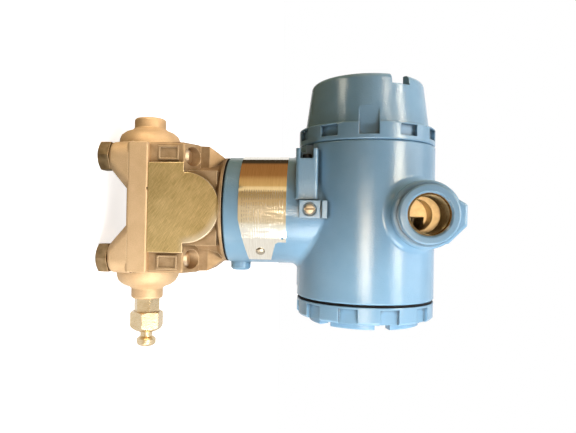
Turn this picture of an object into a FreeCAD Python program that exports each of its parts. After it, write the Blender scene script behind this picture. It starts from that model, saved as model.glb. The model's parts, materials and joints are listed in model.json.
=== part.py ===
import FreeCAD, Part
import math
import os
import re

import Sketcher

# A coplanar pressure transmitter standing on its flange bolts. Millimetres, +Z up along the neck.
# The origin is midway between the two process ports, on the plane of their pads, where the bolt
# heads seat. The display cover faces -Y, the terminal cover +Y, and the conduit entries +X and -X.

# Driving dimensions: alias, value, meaning
SIZES = [
    ("plate_half_x", 30.0, "flange plate, half width"),
    ("plate_half_y", 36.6, "flange plate, half length"),
    ("plate_bottom_z", 11.0, "underside of the flange plate"),
    ("joint_z", 23.4, "flange to module joint"),
    ("plate_round", 2.0, "flange plate, rounding of its underside"),
    ("plate_edge_round", 1.2, "flange plate, rounding at the joint"),
    ("bolt_x", 20.65, "flange bolt, offset along X"),
    ("bolt_y", 29.2, "flange bolt, offset along Y"),
    ("bolt_radius", 5.5, "flange bolt shank"),
    ("bolt_hole_radius", 5.9, "bolt hole in the flange"),
    ("bolt_flats", 15.9, "bolt head across flats"),
    ("bolt_head_height", 6.6, "bolt head height"),
    ("bolt_tip_z", 45.4, "end of the bolt"),
    ("bolt_chamfer", 2.0, "chamfer on the end of the bolt"),
    ("pad_half_x", 28.9, "bolt pad, half length at its foot"),
    ("pad_half_y", 8.2, "bolt pad, half width at its foot"),
    ("pad_corner", 7.9, "bolt pad, corner radius at its foot"),
    ("pad_root_half_x", 29.9, "bolt pad, half length at the plate"),
    ("pad_root_half_y", 15.6, "bolt pad, half width at the plate"),
    ("pad_root_corner", 9.0, "bolt pad, corner radius at the plate"),
    ("pad_root_y", 22.6, "middle of a bolt pad at the plate, along Y"),
    ("pad_round", 2.2, "bolt pad, rounding of its foot"),
    ("port_y", 27.0, "process port, offset along Y"),
    ("port_radius", 5.7, "process port thread"),
    ("port_top_z", 13.8, "end of the process port thread"),
    ("passage_radius", 2.5, "fluid passages"),
    ("drain_z", 15.1, "drain boss axis height"),
    ("drain_radius", 9.5, "drain boss radius"),
    ("drain_end_y", 54.8, "drain boss end face"),
    ("drain_round", 1.6, "drain boss, rounding of its end"),
    ("drain_hole_radius", 6.6, "drain thread"),
    ("drain_hole_depth", 11.7, "drain thread depth"),
    ("dome_radius", 19.4, "dome under the drain boss, widest radius"),
    ("dome_foot_y", 37.5, "dome under the drain boss, inner face"),
    ("dome_top_y", 47.4, "dome under the drain boss, outer face"),
    ("isolator_y", 17.0, "isolator centre, offset along Y"),
    ("isolator_radius", 12.6, "isolator recess"),
    ("isolator_depth", 0.4, "isolator recess depth"),
    ("gasket_inner_radius", 13.8, "process gasket groove, inside"),
    ("gasket_outer_radius", 16.4, "process gasket groove, outside"),
    ("gasket_depth", 2.2, "process gasket groove depth"),
    ("weep_y", 10.6, "weep notch, offset along Y"),
    ("weep_radius", 0.8, "weep notch"),
    ("weep_depth", 4.0, "weep notch, depth"),
    ("module_half_y", 36.9, "module ear, half length"),
    ("ear_half_x", 27.0, "module ear face"),
    ("ear_shoulder_z", 43.3, "module ear, start of its sloping end"),
    ("ear_top_x", 15.0, "module ear, half width at its top"),
    ("ear_top_z", 50.2, "module ear, top of its sloping end"),
    ("ear_round", 1.6, "module ear, rounding"),
    ("gusset_z", 55.3, "gusset, end of its straight part"),
    ("gusset_half_x", 15.0, "gusset, half width there"),
    ("gusset_y", 36.0, "gusset, outer face there"),
    ("gusset_inner_y", 23.6, "gusset, inner face"),
    ("gusset_tip_inner_y", 27.0, "gusset, inner face at the neck"),
    ("gusset_tip_x", 8.5, "gusset, half width at the neck"),
    ("gusset_tip_y", 29.4, "gusset, outer face at the neck"),
    ("shoulder_x", 26.4, "module shoulder, flat on each side"),
    ("shoulder_half_y", 21.0, "module shoulder, half length"),
    ("shoulder_top_z", 62.0, "module shoulder, top"),
    ("face_x", 29.5, "machined face of the module"),
    ("face_half_y", 25.2, "machined face, half length of its straight part"),
    ("face_radius", 19.8, "machined face, round end"),
    ("face_centre_z", 44.0, "machined face, centre of its round end"),
    ("collar_radius", 28.0, "module collar"),
    ("collar_rim_radius", 30.9, "module collar at the seal"),
    ("collar_top_z", 65.2, "module collar top"),
    ("mark_half_y", 4.0, "framed mark on an ear, half length along Y"),
    ("mark_half_z", 5.8, "framed mark on an ear, half length along Z"),
    ("mark_y", 30.8, "framed mark on an ear, offset along Y"),
    ("mark_z", 34.4, "framed mark on an ear, height"),
    ("mark_border", 1.0, "framed mark, width of its frame"),
    ("mark_lift", 0.9, "framed mark, height of its frame"),
    ("mark_floor", 0.2, "framed mark, height of its field"),
    ("stub_radius", 19.5, "module stub inside the neck"),
    ("stub_top_z", 96.8, "top of the module stub"),
    ("seal_thickness", 0.85, "neck seal"),
    ("seal_inner_radius", 24.0, "neck seal, inside"),
    ("neck_bottom_z", 66.2, "bottom of the housing neck"),
    ("neck_radius", 31.3, "housing neck"),
    ("neck_bore_radius", 19.6, "bore of the housing neck"),
    ("neck_bore_top_z", 98.8, "end of the neck bore"),
    ("neck_cable_radius", 4.0, "cable way from the neck to the electronics"),
    ("neck_cable_y", -19.0, "cable way, position along Y"),
    ("barrel_z", 146.2, "barrel axis height"),
    ("barrel_radius", 39.3, "barrel radius"),
    ("barrel_front_y", -36.9, "barrel end at the display cover"),
    ("barrel_back_y", 49.6, "barrel end at the terminal cover"),
    ("barrel_bore_radius", 34.0, "threaded bore of the barrel"),
    ("web_front_y", -13.0, "web between the compartments, display side"),
    ("web_back_y", -9.2, "web between the compartments, terminal side"),
    ("conduit_y", 2.1, "conduit axis, position along Y"),
    ("conduit_z", 173.2, "conduit axis height"),
    ("conduit_radius", 10.6, "conduit thread"),
    ("conduit_inner_radius", 8.6, "opening behind the conduit thread"),
    ("conduit_way_z", 170.6, "opening behind the conduit thread, axis height"),
    ("conduit_thread_x", 28.0, "inner end of the conduit thread"),
    ("conduit_way_x", 14.0, "wall between the conduit entries, half thickness"),
    ("entry_wall_y", 3.0, "wall between the conduit entries, edge towards the terminal cover"),
    ("entry_wall_z", 160.0, "wall between the conduit entries, lower side"),
    ("conduit_face_x", 52.0, "conduit face"),
    ("conduit_ring_radius", 15.1, "conduit ring"),
    ("conduit_groove_radius", 14.3, "groove behind the conduit ring"),
    ("conduit_ring_x", 46.6, "conduit ring, inner end"),
    ("conduit_boss_x", 44.8, "conduit boss, outer end"),
    ("conduit_boss_radius", 17.6, "conduit boss"),
    ("conduit_join", 4.0, "rounding where the conduit tube meets the barrel"),
    ("neck_join", 4.0, "rounding where the neck meets the barrel"),
    ("conduit_round", 1.1, "conduit ring, rounding of its face"),
    ("conduit_lead", 1.0, "conduit thread, lead-in"),
    ("blank_sink", 1.6, "conduit plug, how far it is sunk in its entry"),
    ("blank_length", 19.0, "conduit plug length"),
    ("blank_socket", 9.5, "conduit plug socket across flats"),
    ("blank_socket_depth", 9.0, "conduit plug socket depth"),
    ("bridge_half_x", 44.8, "bridge over the barrel, half length"),
    ("bridge_top_z", 193.3, "top of the bridge"),
    ("bridge_side", 16.5, "bridge, half width at the conduit axis"),
    ("bridge_shoulder", 14.6, "bridge, half width at its shoulder"),
    ("bridge_crest", 5.4, "bridge, half width of its flat top"),
    ("bridge_round", 1.6, "bridge, rounding"),
    ("rib_x", 34.0, "face of a lock rib"),
    ("rib_root_x", 12.0, "root of a lock rib"),
    ("rib_round", 1.8, "lock rib, rounding of its long edges"),
    ("rib_low_z", 106.2, "lock rib, lower side"),
    ("rib_high_z", 118.1, "lock rib, upper side"),
    ("rib_front_y", -32.8, "display side lock rib, outer end"),
    ("rib_length", 27.4, "lock rib length"),
    ("rib_back_y", 45.5, "terminal side lock rib, outer end"),
    ("notch_length", 5.4, "notch for the lock screw"),
    ("notch_half", 3.5, "notch for the lock screw, half width"),
    ("notch_z", 112.0, "lock screw axis height"),
    ("notch_root_x", 17.6, "bottom of the notch"),
    ("lock_x", 20.5, "lock screw axis, offset along X"),
    ("lock_radius", 2.7, "lock screw head"),
    ("lock_head", 3.6, "lock screw head height"),
    ("lock_hole_radius", 2.0, "lock screw thread"),
    ("lock_hole_depth", 9.0, "lock screw thread depth"),
    ("ground_x", 36.0, "face of the ground pad"),
    ("ground_half_y", 4.8, "ground pad, half length along Y"),
    ("ground_low_z", 108.4, "ground pad, lower side"),
    ("ground_high_z", 119.5, "ground pad, upper side"),
    ("ground_seat_radius", 3.7, "counterbore of the ground screw"),
    ("ground_seat_depth", 1.2, "counterbore of the ground screw, depth"),
    ("ground_screw_radius", 2.9, "ground screw head"),
    ("ground_head", 2.6, "ground screw head height"),
    ("ground_thread_radius", 2.0, "ground screw thread"),
    ("ground_screw_depth", 9.0, "ground screw thread depth"),
    ("stop_low_z", 120.5, "clamp stop beside the ground pad, lower side"),
    ("stop_high_z", 123.2, "clamp stop beside the ground pad, upper side"),
    ("spin_z", 72.8, "rotation screw height"),
    ("spin_end_y", 35.9, "rotation screw boss, end"),
    ("spin_radius", 5.9, "rotation screw boss"),
    ("spin_screw_radius", 2.5, "rotation screw"),
    ("spin_screw_length", 10.0, "rotation screw length"),
    ("spin_socket", 2.5, "rotation screw socket across flats"),
    ("spin_socket_depth", 3.5, "rotation screw socket depth"),
    ("plate_thickness", 0.45, "nameplate"),
    ("plate_gap", 0.04, "nameplate, clearance to the neck"),
    ("name_low_z", 74.8, "nameplate, lower edge"),
    ("name_high_z", 101.2, "nameplate, upper edge"),
    ("name_start", -119.0, "nameplate, plain end, degrees about the neck"),
    ("name_end", 65.0, "nameplate, tongue end, degrees about the neck"),
    ("name_taper_y", 6.0, "nameplate, start of the lower taper"),
    ("name_taper_z", 79.4, "nameplate, lower taper at the tongue end"),
    ("name_tab_y", 18.4, "nameplate, end of the hole tab"),
    ("name_step_z", 95.2, "nameplate, upper edge behind the tab"),
    ("name_tongue_z", 91.8, "nameplate, upper edge at the tongue end"),
    ("name_hole_z", 99.2, "nameplate, small hole"),
    ("name_hole_y", 16.2, "nameplate, small hole, position along Y"),
    ("name_hole_radius", 0.75, "nameplate, radius of the small hole"),
    ("drive_angle", 48.2, "drive screw, degrees about the neck"),
    ("drive_back_angle", -110.0, "second drive screw, degrees about the neck"),
    ("drive_z", 86.6, "drive screw height"),
    ("drive_radius", 2.6, "drive screw head"),
    ("drive_shank_radius", 1.2, "drive screw shank"),
    ("drive_depth", 6.0, "drive screw shank length"),
    ("skirt_radius", 33.8, "cover skirt, thread"),
    ("skirt_bore_radius", 30.5, "cover skirt, inside"),
    ("skirt_length", 11.5, "cover skirt length"),
    ("cover_radius", 39.2, "cover rim"),
    ("cover_gap", 0.25, "display cover seam"),
    ("groove_radius", 32.2, "seal groove on the display cover skirt"),
    ("groove_width", 2.6, "seal groove width"),
    ("rim_height", 9.6, "display cover rim height"),
    ("rim_round", 0.9, "display cover rim, rounding"),
    ("cone_foot_radius", 35.7, "display cover cone at the rim"),
    ("cone_top_radius", 32.0, "display cover cone at its end"),
    ("cover_height", 37.0, "display cover height"),
    ("cover_round", 3.6, "display cover end rounding"),
    ("bezel_radius", 27.2, "recess in front of the window"),
    ("bezel_z", 32.0, "floor of the recess"),
    ("sight_radius", 25.0, "clear radius of the window"),
    ("glass_seat_radius", 29.0, "window seat"),
    ("glass_seat_z", 30.2, "window seat, front"),
    ("glass_back_z", 20.5, "window seat, back"),
    ("gasket_thickness", 1.0, "window gasket"),
    ("glass_thickness", 6.0, "window glass"),
    ("wrench_angle", 28.7, "wrench slot of the display cover, degrees"),
    ("wrench_width", 11.3, "wrench slot width"),
    ("wrench_depth", 5.7, "wrench slot depth"),
    ("grip_count", 11, "grip pockets around a cover"),
    ("grip_width", 10.5, "grip pocket width"),
    ("grip_radius", 36.5, "grip pocket floor, distance from the axis"),
    ("grip_low", 2.6, "display cover grip pocket, inner end"),
    ("grip_high", 8.6, "display cover grip pocket, outer end"),
    ("grip_angle", -2.7, "display cover grip pocket phase, degrees"),
    ("flute_radius", 34.3, "tall flute floor, distance from the axis"),
    ("flute_high", 19.0, "tall flute, outer end"),
    ("back_gap", 1.4, "terminal cover seam, filled by its seal"),
    ("back_height", 9.2, "terminal cover rim height"),
    ("back_rim_height", 12.9, "terminal cover height with its castle"),
    ("castle_radius", 31.8, "castle on the terminal cover"),
    ("castle_round", 0.8, "castle, rounding"),
    ("castle_bore_radius", 25.0, "castle, inside"),
    ("castle_count", 6, "slots in the castle"),
    ("castle_width", 8.5, "castle slot width"),
    ("castle_angle", -13.4, "castle slot phase, degrees"),
    ("back_grip_low", 1.1, "terminal cover grip pocket, inner end"),
    ("back_grip_angle", -15.5, "terminal cover grip pocket phase, degrees"),
    ("back_web", 5.0, "terminal cover end wall"),
    ("seal_radius", 38.6, "terminal cover seal, outer radius"),
    ("can_radius", 29.5, "electronics can"),
    ("can_front_y", -29.0, "electronics can, front"),
    ("board_thickness", 1.6, "electronics board"),
    ("display_radius", 27.0, "display body"),
    ("display_back_y", -32.6, "display body, back"),
    ("display_front_y", -57.0, "display body, front"),
    ("panel_width", 42.0, "display panel width"),
    ("panel_height", 28.0, "display panel height"),
    ("panel_depth", 1.4, "display panel recess"),
    ("block_radius", 33.6, "terminal block"),
    ("block_top_z", 156.8, "terminal block, flat top"),
    ("block_front_y", 24.0, "terminal block, front"),
    ("well_pitch", 17.0, "terminal spacing"),
    ("well_width", 13.0, "terminal well width"),
    ("well_low_z", 125.8, "terminal well, lower side"),
    ("well_height", 22.0, "terminal well height"),
    ("well_depth", 6.5, "terminal well depth"),
    ("terminal_z", 136.8, "terminal screw height"),
    ("terminal_radius", 4.2, "terminal screw head"),
    ("terminal_head", 3.0, "terminal screw head height"),
    ("terminal_shank_radius", 2.0, "terminal screw shank"),
    ("terminal_shank", 10.0, "terminal screw shank length"),
    ("clamp_side", 10.0, "terminal clamp plate side"),
    ("clamp_thickness", 1.2, "terminal clamp plate"),
    ("fixing_x", 14.0, "terminal block fixing screw, offset along X"),
    ("fixing_z", 119.8, "terminal block fixing screw height"),
    ("fixing_radius", 2.8, "terminal block fixing screw head"),
    ("fixing_head", 2.2, "terminal block fixing screw head height"),
    ("fixing_shank_radius", 1.5, "terminal block fixing screw shank"),
    ("fixing_shank", 12.0, "terminal block fixing screw shank length"),
    ("fixing_seat", 9.0, "terminal block fixing screw, seat above the web"),
    ("board_screw_radius", 2.4, "board screw head"),
    ("board_screw_head", 1.6, "board screw head height"),
    ("board_screw_circle", 24.5, "board screws, circle radius"),
    ("board_screw_shank_radius", 1.25, "board screw shank"),
    ("board_screw_shank", 8.0, "board screw shank length"),
    ("valve_hex", 13.6, "vent valve seat across flats"),
    ("valve_hex_end_y", 62.9, "vent valve seat, outer end"),
    ("valve_seat_y", 47.2, "vent valve, ball seat"),
    ("valve_bore_radius", 3.75, "vent valve bore"),
    ("valve_port_radius", 1.5, "vent valve port"),
    ("nut_hex", 17.6, "vent valve nut across flats"),
    ("nut_end_y", 75.1, "vent valve nut, outer end"),
    ("stem_radius", 3.6, "vent stem"),
    ("stem_nose_y", 52.0, "vent stem, inner end"),
    ("stem_head_y", 78.8, "vent stem, head"),
    ("stem_head_radius", 5.75, "vent stem head radius"),
    ("stem_end_y", 84.0, "vent stem, outer end"),
    ("ball_radius", 2.6, "vent ball"),
    ("ball_y", 49.36, "vent ball centre"),
    ("plug_sink", 0.4, "drain plug, how far it is sunk in the boss"),
    ("plug_socket", 6.4, "drain plug socket across flats"),
    ("plug_socket_depth", 6.0, "drain plug socket depth"),
    ("slot_width", 0.9, "slot of a slotted screw"),
    ("past", 1.0, "how far a cutting tool runs past what it cuts"),
    ("fit", 0.05, "clearance of a screw in its hole"),
]
ALIASES = {alias for alias, value, meaning in SIZES}

UP = FreeCAD.Rotation()
TO_PLUS_X = FreeCAD.Rotation(FreeCAD.Vector(0, 1, 0), 90)
TO_MINUS_X = FreeCAD.Rotation(FreeCAD.Vector(0, 1, 0), -90)
TO_PLUS_Y = FreeCAD.Rotation(FreeCAD.Vector(1, 0, 0), -90)
TO_MINUS_Y = FreeCAD.Rotation(FreeCAD.Vector(1, 0, 0), 90)
SIDES = (1, -1)
NAMES = {1: "plus", -1: "minus"}
TINY = 1e-4

DOC = FreeCAD.newDocument("pressure_transmitter")
SHEET = DOC.addObject("Spreadsheet::Sheet", "Sizes")
for row, (alias, value, meaning) in enumerate(SIZES, start=1):
    SHEET.set(f"A{row}", meaning)
    SHEET.set(f"B{row}", str(value))
    SHEET.setAlias(f"B{row}", alias)
DOC.recompute()

NODES = []


# Formulas on the sheet

def formula(text):
    """The text with the sheet's name written before each alias."""
    def named(word):
        return "Sizes." + word.group() if word.group() in ALIASES else word.group()
    return re.sub(r"[a-z][a-z0-9_]*", named, str(text))


def amount(text):
    """What a formula comes to now."""
    return float(SHEET.evalExpression(formula(text)))


def place(item, at, turn=UP):
    """Turn an object and bind its position to three formulas."""
    item.Placement = FreeCAD.Placement(FreeCAD.Vector(), turn)
    for axis, text in zip("xyz", at):
        item.setExpression("Placement.Base." + axis, formula(text))


def node(label, item):
    """Give a finished sub-part its name."""
    item.Label = label
    NODES.append(item)
    return item


# Primitives and booleans

def primitive(kind, name, at, turn=UP, **sizes):
    """A Part primitive with its sizes and its position bound to the sheet."""
    item = DOC.addObject("Part::" + kind, name)
    place(item, at, turn)
    for size, text in sizes.items():
        item.setExpression(size, formula(text))
    return item


def rod(name, radius, length, at, turn=UP):
    """A cylinder from a point, along the turned Z axis."""
    return primitive("Cylinder", name, at, turn, Radius=radius, Height=length)


def block(name, low, high):
    """A box between two corners."""
    spans = [f"({top}) - ({bottom})" for bottom, top in zip(low, high)]
    return primitive("Box", name, low, Length=spans[0], Width=spans[1], Height=spans[2])


def hexagon(name, flats, length, at, turn=UP):
    """A hexagonal prism, with a corner on its turned X axis."""
    item = primitive("Prism", name, at, turn, Circumradius=f"({flats}) / sqrt(3)", Height=length)
    item.Polygon = 6
    return item


def fuse(name, items):
    joined = DOC.addObject("Part::MultiFuse", name)
    joined.Shapes = items
    joined.Refine = True
    return joined


def cut(name, base, tools):
    """The base with every tool taken out of it."""
    rest = DOC.addObject("Part::Cut", name)
    rest.Base = base
    rest.Tool = tools[0] if len(tools) == 1 else fuse(name + "_tools", tools)
    rest.Refine = True
    return rest


def common(name, items):
    shared = DOC.addObject("Part::MultiCommon", name)
    shared.Shapes = items
    return shared


# Bodies with sketches

def body(name, at=("0", "0", "0"), turn=UP):
    item = DOC.addObject("PartDesign::Body", name)
    place(item, at, turn)
    return item


def sketch(owner, name, role, lift="0", angle="0"):
    """A sketch on one of the body's own planes, lifted along its normal and turned about it."""
    item = owner.newObject("Sketcher::SketchObject", name)
    planes = {feature.Role: feature for feature in owner.Origin.OriginFeatures}
    item.AttachmentSupport = [(planes[role], "")]
    item.MapMode = "FlatFace"
    item.AttachmentOffset = FreeCAD.Placement(
        FreeCAD.Vector(), FreeCAD.Rotation(FreeCAD.Vector(0, 0, 1), amount(angle)))
    item.setExpression("AttachmentOffset.Base.z", formula(lift))
    return item


def bind(item, kind, elements, text):
    """A dimension on a sketch, bound to a formula."""
    index = item.addConstraint(Sketcher.Constraint(kind, *elements, amount(text)))
    item.setExpression(f"Constraints[{index}]", formula(text))


def outline(item, points):
    """A closed run of straight lines through points given as pairs of formulas."""
    spots = [FreeCAD.Vector(amount(x), amount(y), 0) for x, y in points]
    count = len(spots)
    sides = [Part.LineSegment(spots[i], spots[(i + 1) % count]) for i in range(count)]
    lines = [item.addGeometry(side, False) for side in sides]
    for i in range(count):
        item.addConstraint(Sketcher.Constraint("Coincident", lines[i], 2, lines[(i + 1) % count], 1))
    for line, (x, y) in zip(lines, points):
        bind(item, "DistanceX", (-1, 1, line, 1), x)
        bind(item, "DistanceY", (-1, 1, line, 1), y)


def oblong(item, y, half_x, half_y, corner):
    """A rectangle with round corners, centred on X, its middle at a place along Y."""
    centre_x = f"({half_x}) - ({corner})"
    rise = f"({half_y}) - ({corner})"
    middle, radius = amount(y), amount(corner)
    reach, lift = amount(centre_x), amount(rise)
    quarter = math.pi / 2
    arcs = []
    for turns, (x_sign, y_sign) in enumerate(((1, -1), (1, 1), (-1, 1), (-1, -1))):
        centre = FreeCAD.Vector(x_sign * reach, middle + y_sign * lift, 0)
        circle = Part.Circle(centre, FreeCAD.Vector(0, 0, 1), radius)
        arc = item.addGeometry(Part.ArcOfCircle(circle, (turns - 1) * quarter, turns * quarter), False)
        bind(item, "DistanceX", (-1, 1, arc, 3), f"{x_sign} * ({centre_x})")
        bind(item, "DistanceY", (-1, 1, arc, 3), f"{y} + {y_sign} * ({rise})")
        bind(item, "Radius", (arc,), corner)
        arcs.append(arc)
    for here, after in zip(arcs, arcs[1:] + arcs[:1]):
        ends = item.Geometry[here].EndPoint, item.Geometry[after].StartPoint
        side = item.addGeometry(Part.LineSegment(*ends), False)
        item.addConstraint(Sketcher.Constraint("Tangent", here, 2, side, 1))
        item.addConstraint(Sketcher.Constraint("Tangent", side, 2, after, 1))


def revolve(owner, profile):
    """Turn a profile on the XZ plane about the body's Z axis."""
    item = owner.newObject("PartDesign::Revolution", profile.Name + "_turned")
    item.Profile = profile
    item.ReferenceAxis = (profile, ["V_Axis"])
    item.Angle = 360
    DOC.recompute()
    return item


def pad(owner, profile, length, midplane=False):
    item = owner.newObject("PartDesign::Pad", profile.Name + "_pad")
    item.Profile = profile
    item.setExpression("Length", formula(length))
    item.Midplane = midplane
    DOC.recompute()
    return item


def pocket(owner, profile, length):
    """A pocket cut against the sketch's normal."""
    item = owner.newObject("PartDesign::Pocket", profile.Name + "_pocket")
    item.Profile = profile
    item.setExpression("Length", formula(length))
    DOC.recompute()
    return item


def loft(owner, name, first, second):
    item = owner.newObject("PartDesign::AdditiveLoft", name)
    item.Profile = first
    item.Sections = [second]
    item.Ruled = True
    DOC.recompute()
    return item


def polar(owner, feature, profile, count):
    """Repeat a feature evenly about the normal of its sketch's own origin."""
    item = owner.newObject("PartDesign::PolarPattern", feature.Name + "_polar")
    item.Originals = [feature]
    item.Axis = (profile, ["N_Axis"])
    item.Angle = 360
    item.setExpression("Occurrences", formula(count))
    owner.Tip = item
    DOC.recompute()
    return item


def rounded(owner, radius, wanted):
    """Round the edges of the body's last feature that pass a test."""
    base = owner.Tip
    names = [f"Edge{i}" for i, edge in enumerate(base.Shape.Edges, start=1) if wanted(edge)]
    item = owner.newObject("PartDesign::Fillet", base.Name + "_round")
    item.Base = (base, names)
    item.setExpression("Radius", formula(radius))
    DOC.recompute()
    return item


def turned(name, profile, at=("0", "0", "0"), turn=UP):
    """A body turned about its own Z axis from (radius, height) formulas."""
    owner = body(name, at, turn)
    item = sketch(owner, name + "_profile", "XZ_Plane")
    outline(item, profile)
    revolve(owner, item)
    return owner


def at_level(edge, axis, text):
    """Whether an edge lies wholly in the plane where a coordinate has a value."""
    box = edge.BoundBox
    low, high = {"x": (box.XMin, box.XMax), "y": (box.YMin, box.YMax), "z": (box.ZMin, box.ZMax)}[axis]
    level = amount(text)
    return abs(low - level) < TINY and abs(high - level) < TINY


def circle_at(edge, radius, height):
    """Whether an edge is a full circle of a radius at a height on the body's own axis."""
    return at_level(edge, "z", height) and abs(edge.BoundBox.XMax - amount(radius)) < TINY


# Flange

def flange():
    """The process flange: a plate with two pads for bolts and ports, and a drain boss at each end."""
    owner = body("flange_casting")
    plan = sketch(owner, "flange_plan", "XY_Plane", "plate_bottom_z")
    corners = [(1, 1), (-1, 1), (-1, -1), (1, -1)]
    outline(plan, [(f"{x} * plate_half_x", f"{y} * plate_half_y") for x, y in corners])
    pad(owner, plan, "joint_z - plate_bottom_z")
    rounded(owner, "plate_round", lambda edge: at_level(edge, "z", "plate_bottom_z"))
    rounded(owner, "plate_edge_round", lambda edge: at_level(edge, "z", "joint_z"))
    for side in SIDES:
        foot = sketch(owner, f"pad_foot_{NAMES[side]}", "XY_Plane", "0")
        oblong(foot, f"{side} * bolt_y", "pad_half_x", "pad_half_y", "pad_corner")
        root = sketch(owner, f"pad_root_{NAMES[side]}", "XY_Plane", "plate_bottom_z + 1")
        oblong(root, f"{side} * pad_root_y", "pad_root_half_x", "pad_root_half_y", "pad_root_corner")
        loft(owner, f"pad_loft_{NAMES[side]}", foot, root)
    rounded(owner, "pad_round", lambda edge: at_level(edge, "z", "0"))

    boss_profile = [
        ("0", "dome_foot_y"), ("dome_radius", "dome_foot_y"), ("dome_radius - 0.6", "dome_top_y - 6.4"),
        ("dome_radius - 2.2", "dome_top_y - 3.4"), ("dome_radius - 5", "dome_top_y - 1.2"),
        ("drain_radius + 1.6", "dome_top_y"),
        ("drain_radius", "dome_top_y + 1.4"), ("drain_radius", "drain_end_y"), ("0", "drain_end_y")]
    bosses = []
    for side, turn in zip(SIDES, (TO_PLUS_Y, TO_MINUS_Y)):
        boss = turned(f"drain_boss_{NAMES[side]}", boss_profile, ("0", "0", "drain_z"), turn)
        rounded(boss, "drain_round", lambda edge: circle_at(edge, "drain_radius", "drain_end_y"))
        root = rod(f"dome_root_{NAMES[side]}", "dome_radius", "dome_foot_y - port_y",
                   ("0", f"{side} * port_y", "drain_z"), turn)
        below = block(f"dome_room_{NAMES[side]}", ("-dome_radius", "-drain_end_y", "0"),
                      ("dome_radius", "drain_end_y", "joint_z - plate_edge_round"))
        bosses += [boss, common(f"dome_foot_{NAMES[side]}", [root, below])]
    casting = fuse("flange_whole", [owner] + bosses)

    tools = [block("flange_underside", ("-plate_half_x", "-drain_end_y", "-dome_radius"),
                   ("plate_half_x", "drain_end_y", "0"))]
    for x in SIDES:
        for y in SIDES:
            hole_at = (f"{x} * bolt_x", f"{y} * bolt_y", "-past")
            tools.append(rod(f"bolt_hole_{NAMES[x]}_{NAMES[y]}", "bolt_hole_radius",
                             "joint_z + 2 * past", hole_at))
    for side, turn in zip(SIDES, (TO_PLUS_Y, TO_MINUS_Y)):
        tag = NAMES[side]
        tools.append(rod(f"port_{tag}", "port_radius", "port_top_z + past",
                         ("0", f"{side} * port_y", "-past")))
        tools.append(rod(f"port_way_{tag}", "passage_radius", "joint_z - port_top_z",
                         ("0", f"{side} * port_y", "port_top_z - past / 2")))
        tools.append(rod(f"drain_way_{tag}", "passage_radius", "drain_end_y - port_y",
                         ("0", f"{side} * port_y", "drain_z"), turn))
        tools.append(rod(f"drain_thread_{tag}", "drain_hole_radius", "drain_hole_depth + past",
                         ("0", f"{side} * (drain_end_y - drain_hole_depth)", "drain_z"), turn))
        tools.append(rod(f"cavity_{tag}", "isolator_radius", "2 * past",
                         ("0", f"{side} * isolator_y", "joint_z - past")))
        groove_at = ("0", f"{side} * isolator_y", "joint_z - gasket_depth")
        outer = rod(f"groove_outer_{tag}", "gasket_outer_radius", "gasket_depth + past", groove_at)
        inner = rod(f"groove_inner_{tag}", "gasket_inner_radius", "gasket_depth + past", groove_at)
        tools.append(cut(f"groove_{tag}", outer, [inner]))
    tools.append(rod("weep_notch", "weep_radius", "weep_depth + past",
                     ("plate_half_x - weep_depth", "-weep_y", "joint_z"), TO_PLUS_X))
    return node("flange", cut("flange_part", casting, tools))


def flange_bolts():
    """Four hexagon bolts through the flange into the module's ears, heads down."""
    bolts = []
    for x in SIDES:
        for y in SIDES:
            tag = f"{NAMES[x]}_{NAMES[y]}"
            centre = (f"{x} * bolt_x", f"{y} * bolt_y", "-bolt_head_height")
            head = hexagon(f"bolt_hex_{tag}", "bolt_flats", "bolt_head_height", centre)
            crown = primitive("Cone", f"bolt_crown_{tag}", centre, Radius1="bolt_flats / 2 - 0.4",
                              Radius2="bolt_flats / 2 + 1.6 * bolt_head_height", Height="bolt_head_height")
            shank = rod(f"bolt_shank_{tag}", "bolt_radius", "bolt_tip_z - bolt_chamfer",
                        (centre[0], centre[1], "0"))
            tip = primitive("Cone", f"bolt_tip_{tag}", (centre[0], centre[1], "bolt_tip_z - bolt_chamfer"),
                            Radius1="bolt_radius", Radius2="bolt_radius - bolt_chamfer", Height="bolt_chamfer")
            bolts.append(fuse(f"bolt_{tag}", [common(f"bolt_head_{tag}", [head, crown]), shank, tip]))
    return node("flange_bolts", fuse("flange_bolts_part", bolts))


def process_gaskets():
    """Two flat gaskets that seal the flange to the isolators."""
    rings = []
    for side in SIDES:
        base = ("0", f"{side} * isolator_y", "joint_z - gasket_depth")
        outer = rod(f"gasket_outer_{NAMES[side]}", "gasket_outer_radius - fit", "gasket_depth - fit", base)
        inner = rod(f"gasket_inner_{NAMES[side]}", "gasket_inner_radius + fit", "gasket_depth + past", base)
        rings.append(cut(f"gasket_{NAMES[side]}", outer, [inner]))
    return node("process_gaskets", fuse("process_gaskets_part", rings))


def isolator_diaphragms():
    """Two thin discs welded into the underside of the module."""
    discs = []
    for side in SIDES:
        base = ("0", f"{side} * isolator_y", "joint_z + fit")
        discs.append(rod(f"diaphragm_{NAMES[side]}", "isolator_radius - fit",
                         "isolator_depth - 2 * fit", base))
    return node("isolator_diaphragms", fuse("isolator_diaphragms_part", discs))


# Sensor module

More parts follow.
